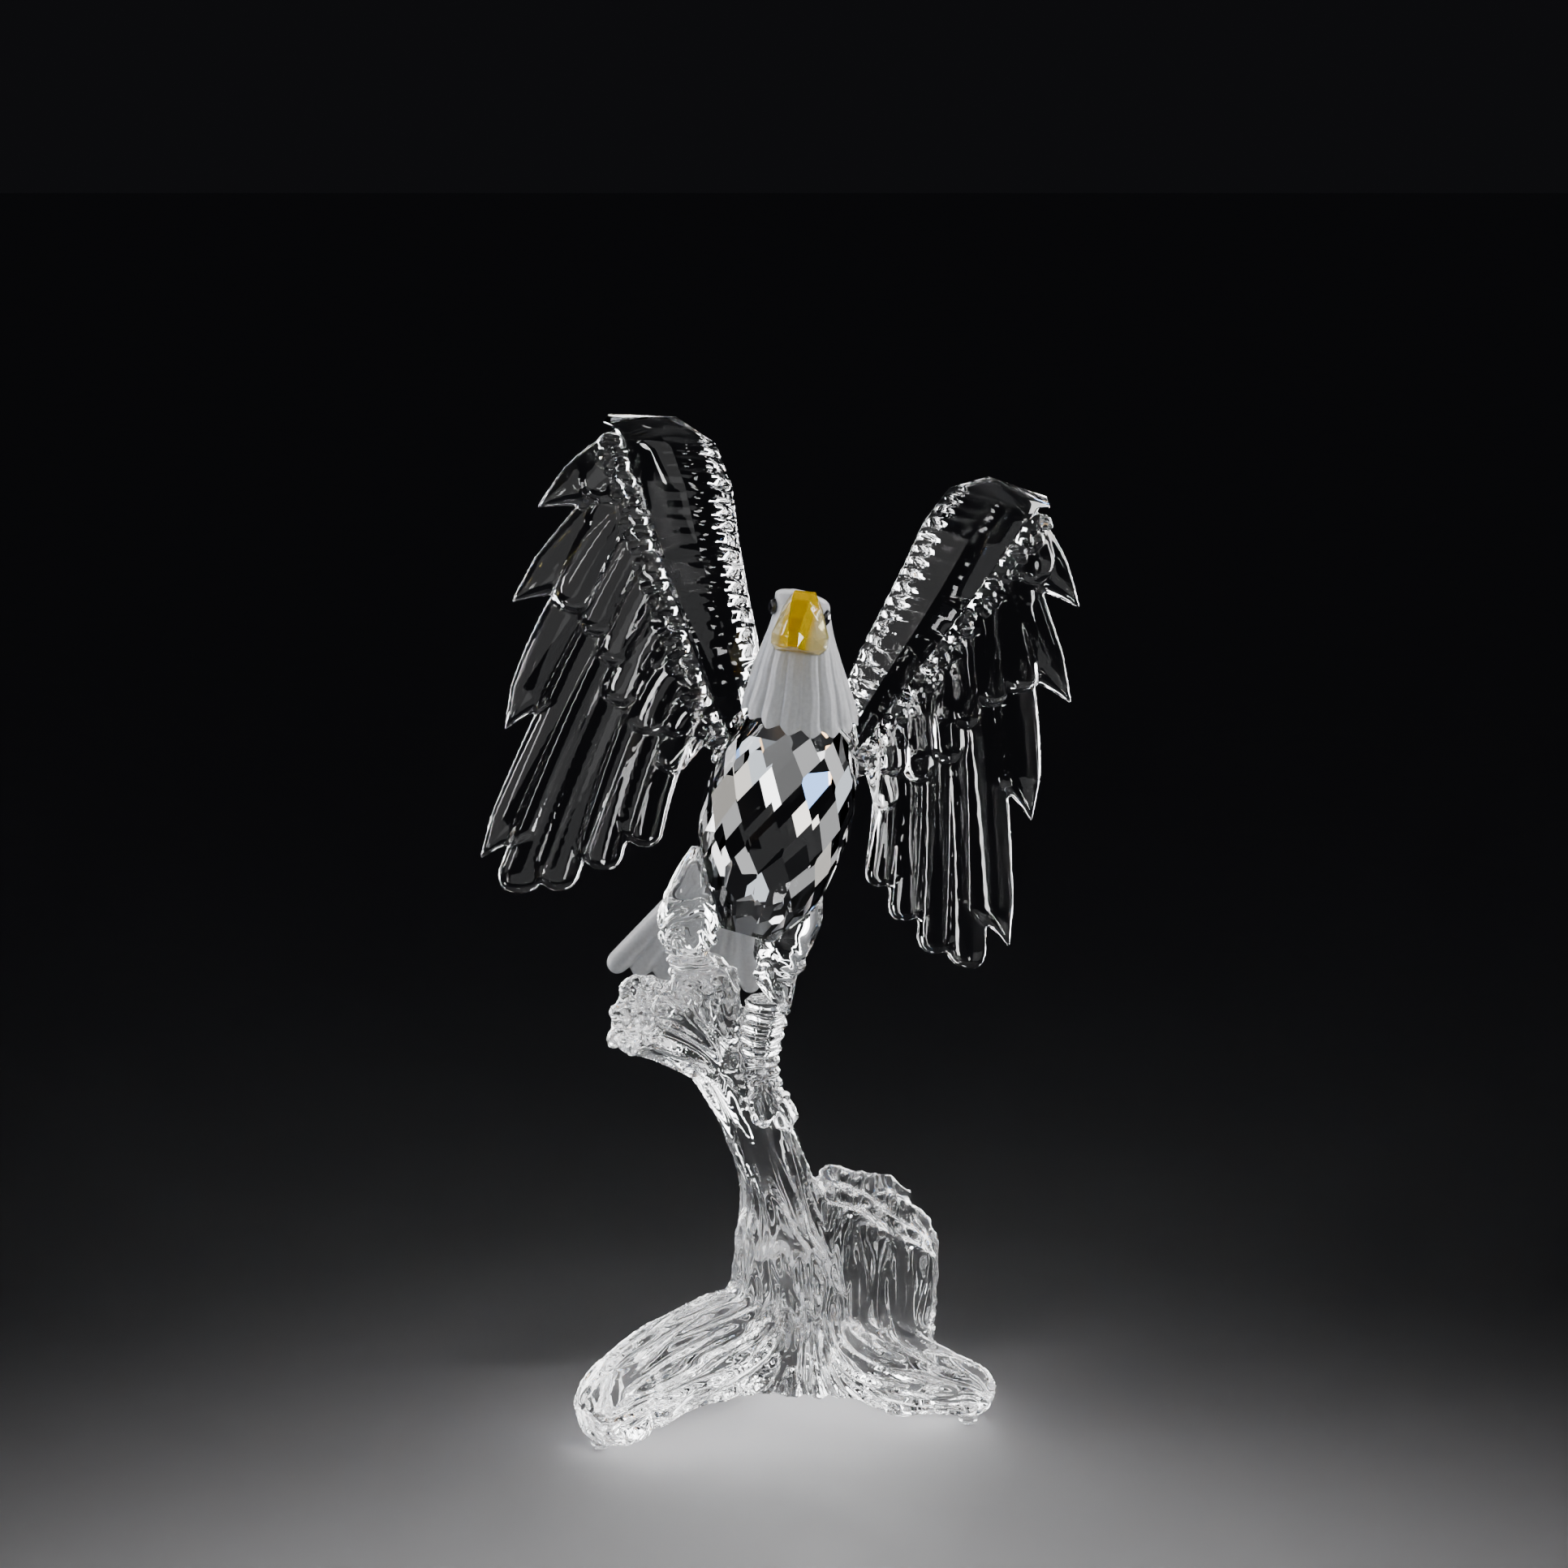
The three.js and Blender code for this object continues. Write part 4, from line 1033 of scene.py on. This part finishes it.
HIGH_AIM = (0, 0, 0.15)
boxes = [
    softbox("left_back_box", (-0.46, 0.42, 0.2), LOW_AIM, 0.2, 0.5, 8),
    softbox("right_back_box", (0.46, 0.42, 0.2), LOW_AIM, 0.2, 0.5, 8),
    softbox("left_box", (-0.6, 0.12, 0.2), LOW_AIM, 0.14, 0.5, 4),
    softbox("right_box", (0.6, 0.12, 0.2), LOW_AIM, 0.14, 0.5, 4),
    softbox("top_box", (0.0, 0.3, 0.6), LOW_AIM, 0.4, 0.12, 4),
    softbox("front_fill", (0.0, -1.3, 0.75), LOW_AIM, 1.5, 0.7, 2.2),
    softbox("left_high_spark", (-0.3, 0.55, 0.42), MIDDLE_AIM, 0.09, 0.09, 1.0),
    softbox("right_high_spark", (0.28, 0.55, 0.45), MIDDLE_AIM, 0.09, 0.09, 1.0),
    softbox("left_low_spark", (-0.34, 0.5, 0.03), MIDDLE_AIM, 0.1, 0.06, 0.9),
    softbox("right_low_spark", (0.34, 0.5, 0.03), MIDDLE_AIM, 0.1, 0.06, 0.9),
    softbox("left_front_spark", (-0.42, -0.55, 0.4), MIDDLE_AIM, 0.07, 0.16, 0.8),
    softbox("right_front_spark", (0.45, -0.5, 0.42), MIDDLE_AIM, 0.07, 0.16, 0.8),
    softbox("low_left_strip", (-0.3, -0.55, 0.04), LOW_AIM, 0.05, 0.12, 0.5),
    softbox("low_right_strip", (0.34, -0.5, 0.06), LOW_AIM, 0.05, 0.12, 0.5),
    softbox("warm_left", (-0.5, 0.15, 0.42), HIGH_AIM, 0.03, 0.2, 0.9, WARM),
    softbox("cool_left", (-0.54, 0.1, 0.44), HIGH_AIM, 0.03, 0.2, 0.9, COOL),
    softbox("warm_right", (0.5, 0.2, 0.46), HIGH_AIM, 0.03, 0.2, 0.9, WARM),
    softbox("cool_right", (0.54, 0.15, 0.48), HIGH_AIM, 0.03, 0.2, 0.9, COOL),
]
for box in boxes:
    if box.name in ("top_box", "front_fill"):
        box.light_linking.receiver_collection = figurine_only
    elif box.name in ("left_back_box", "right_back_box"):
        box.light_linking.receiver_collection = clear_only
    else:
        box.light_linking.receiver_collection = uncut_only

# Two more boxes behind fill the gouges of the wood and the ripples of the thighs with light
wood_only = bpy.data.collections.new("wood_only")
for piece in (wood, left_thigh, right_thigh):
    wood_only.objects.link(piece)
for side, name in ((-1, "left"), (1, "right")):
    panel = softbox(name + "_wood_box", (side * 0.25, 0.52, 0.13), (0, 0, 0.06), 0.13, 0.3, 2.2)
    panel.light_linking.receiver_collection = wood_only

# Each flat of the cut body looks out behind in its own direction, and a small panel stands in
# most of those directions: azimuth, rise and size in degrees, brightness and colour
body_only = bpy.data.collections.new("body_only")
body_only.objects.link(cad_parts["body"])
WHITE = (1, 1, 1)
CREAM = (1, 0.95, 0.87)
SKY = (0.86, 0.93, 1)
PANELS = [
    (-26, -43, 9, 0.6, WHITE), (15, -41, 8, 0.35, SKY), (-8, -36, 8, 0.6, CREAM),
    (27, -37, 8, 1.6, SKY), (45, -32, 8, 0.9, WHITE), (-29, -30, 5, 3, WHITE),
    (4, -29, 8, 0.2, WHITE), (-13, -25, 7, 0.6, WHITE), (15.5, -26, 5, 1.2, SKY),
    (27, -23, 6, 1.5, CREAM), (-2, -22, 8, 0.16, WHITE), (-34, -21, 8, 0.8, WHITE),
    (-20.5, -17.5, 4, 3, COOL), (7, -19, 5, 5, WHITE), (40, -22, 7, 0.5, CREAM),
    (45, -15, 5, 1.2, WHITE), (29, -12.5, 6, 0.55, WHITE), (-45, -11, 7, 1.2, SKY),
    (-17, -7.5, 4.5, 3, CREAM), (-40, 0, 6, 0.5, WHITE), (12, 1, 4, 0.7, WHITE),
    (33, 1, 6, 3, WHITE), (-3, 6, 4, 0.45, WHITE), (6, 10, 6, 1.2, SKY),
    (-37, 12, 7, 0.8, CREAM), (-22, 13, 5, 0.45, WHITE), (-12, 18, 4, 0.25, WHITE),
    (1, 27, 6, 0.4, WHITE), (20, 21, 5, 0.2, WHITE), (48, -5, 6, 4, WHITE),
    (-55, -14, 8, 2.0, WHITE), (-52, 8, 7, 0.8, SKY), (60, -20, 9, 3, WHITE),
    (58, 5, 8, 0.8, CREAM), (75, -10, 9, 1.5, WHITE), (-75, -10, 9, 1.5, WHITE),
]
BODY_HEIGHT = 0.134
WOOD_HEIGHT = 0.05
PANEL_DISTANCE = 0.5
STRIP_WIDTH = 2.2
STRIP_BRIGHTNESS = 14
EDGE_WIDTH = 1.4


def back_panel(name, level, azimuth, rise, width, height, brightness, color, receivers):
    """A panel that stands behind in one direction from a height on the axis, above the floor."""
    azimuth, rise = math.radians(azimuth), math.radians(rise)
    far = min(PANEL_DISTANCE, 0.1 / max(0.01, -math.sin(rise)))
    flat = far * math.cos(rise)
    place = (flat * math.sin(azimuth), flat * math.cos(azimuth), level + far * math.sin(rise))
    width, height = (2 * far * math.tan(math.radians(side / 2)) for side in (width, height))
    power = brightness * math.pi * width * height
    panel = softbox(name, place, (0, 0, level), width, height, power, color)
    panel.light_linking.receiver_collection = receivers


# Thin strips draw bright outlines along the gouges of the wood
for azimuth in (-58, -38, -24, -13, 13, 24, 38, 58):
    back_panel(f"upright_strip_{azimuth}", WOOD_HEIGHT, azimuth, 13, STRIP_WIDTH, 33,
               STRIP_BRIGHTNESS, WHITE, wood_only)
for rise in (17, 31, 48):
    back_panel(f"level_strip_{rise}", WOOD_HEIGHT, 0, rise, 70, STRIP_WIDTH,
               STRIP_BRIGHTNESS, WHITE, wood_only)
for number, (azimuth, rise, size, brightness, color) in enumerate(PANELS):
    back_panel(f"body_panel_{number}", BODY_HEIGHT, azimuth, rise, size, size, brightness, color,
               body_only)
    if brightness > 0.75:
        # Thin warm and cool edges stand for the colours that cut crystal splits light into
        for side, edge in ((1, WARM), (-1, COOL)):
            beside = azimuth + side * (size / 2 + EDGE_WIDTH / 2)
            back_panel(f"body_edge_{number}_{side}", BODY_HEIGHT, beside, rise, EDGE_WIDTH, size,
                       brightness * 2, edge, body_only)
pool = softbox("floor_pool", (0.0, -0.3, 0.8), (0, -0.26, 0), 0.2, 0.2, 0.28)
pool.data.spread = math.radians(40)

world = bpy.data.worlds.new("studio")
world.use_nodes = True
world.node_tree.nodes["Background"].inputs["Color"].default_value = (0.006, 0.006, 0.007, 1)
world.node_tree.nodes["Background"].inputs["Strength"].default_value = 1.0
bpy.context.scene.world = world

CAMERA_PLACE = (0.00016, -0.9866, 0.3479)
CAMERA_TARGET = (0.00016, -0.00843, 0.14)
camera_data = bpy.data.cameras.new("camera")
camera_data.sensor_fit = "HORIZONTAL"
camera_data.sensor_width = 36
camera_data.lens = 110.3
camera = bpy.data.objects.new("camera", camera_data)
camera.location = CAMERA_PLACE
aim = Vector(CAMERA_TARGET) - camera.location
camera.rotation_euler = aim.to_track_quat("-Z", "Y").to_euler()
bpy.context.collection.objects.link(camera)
bpy.context.scene.camera = camera
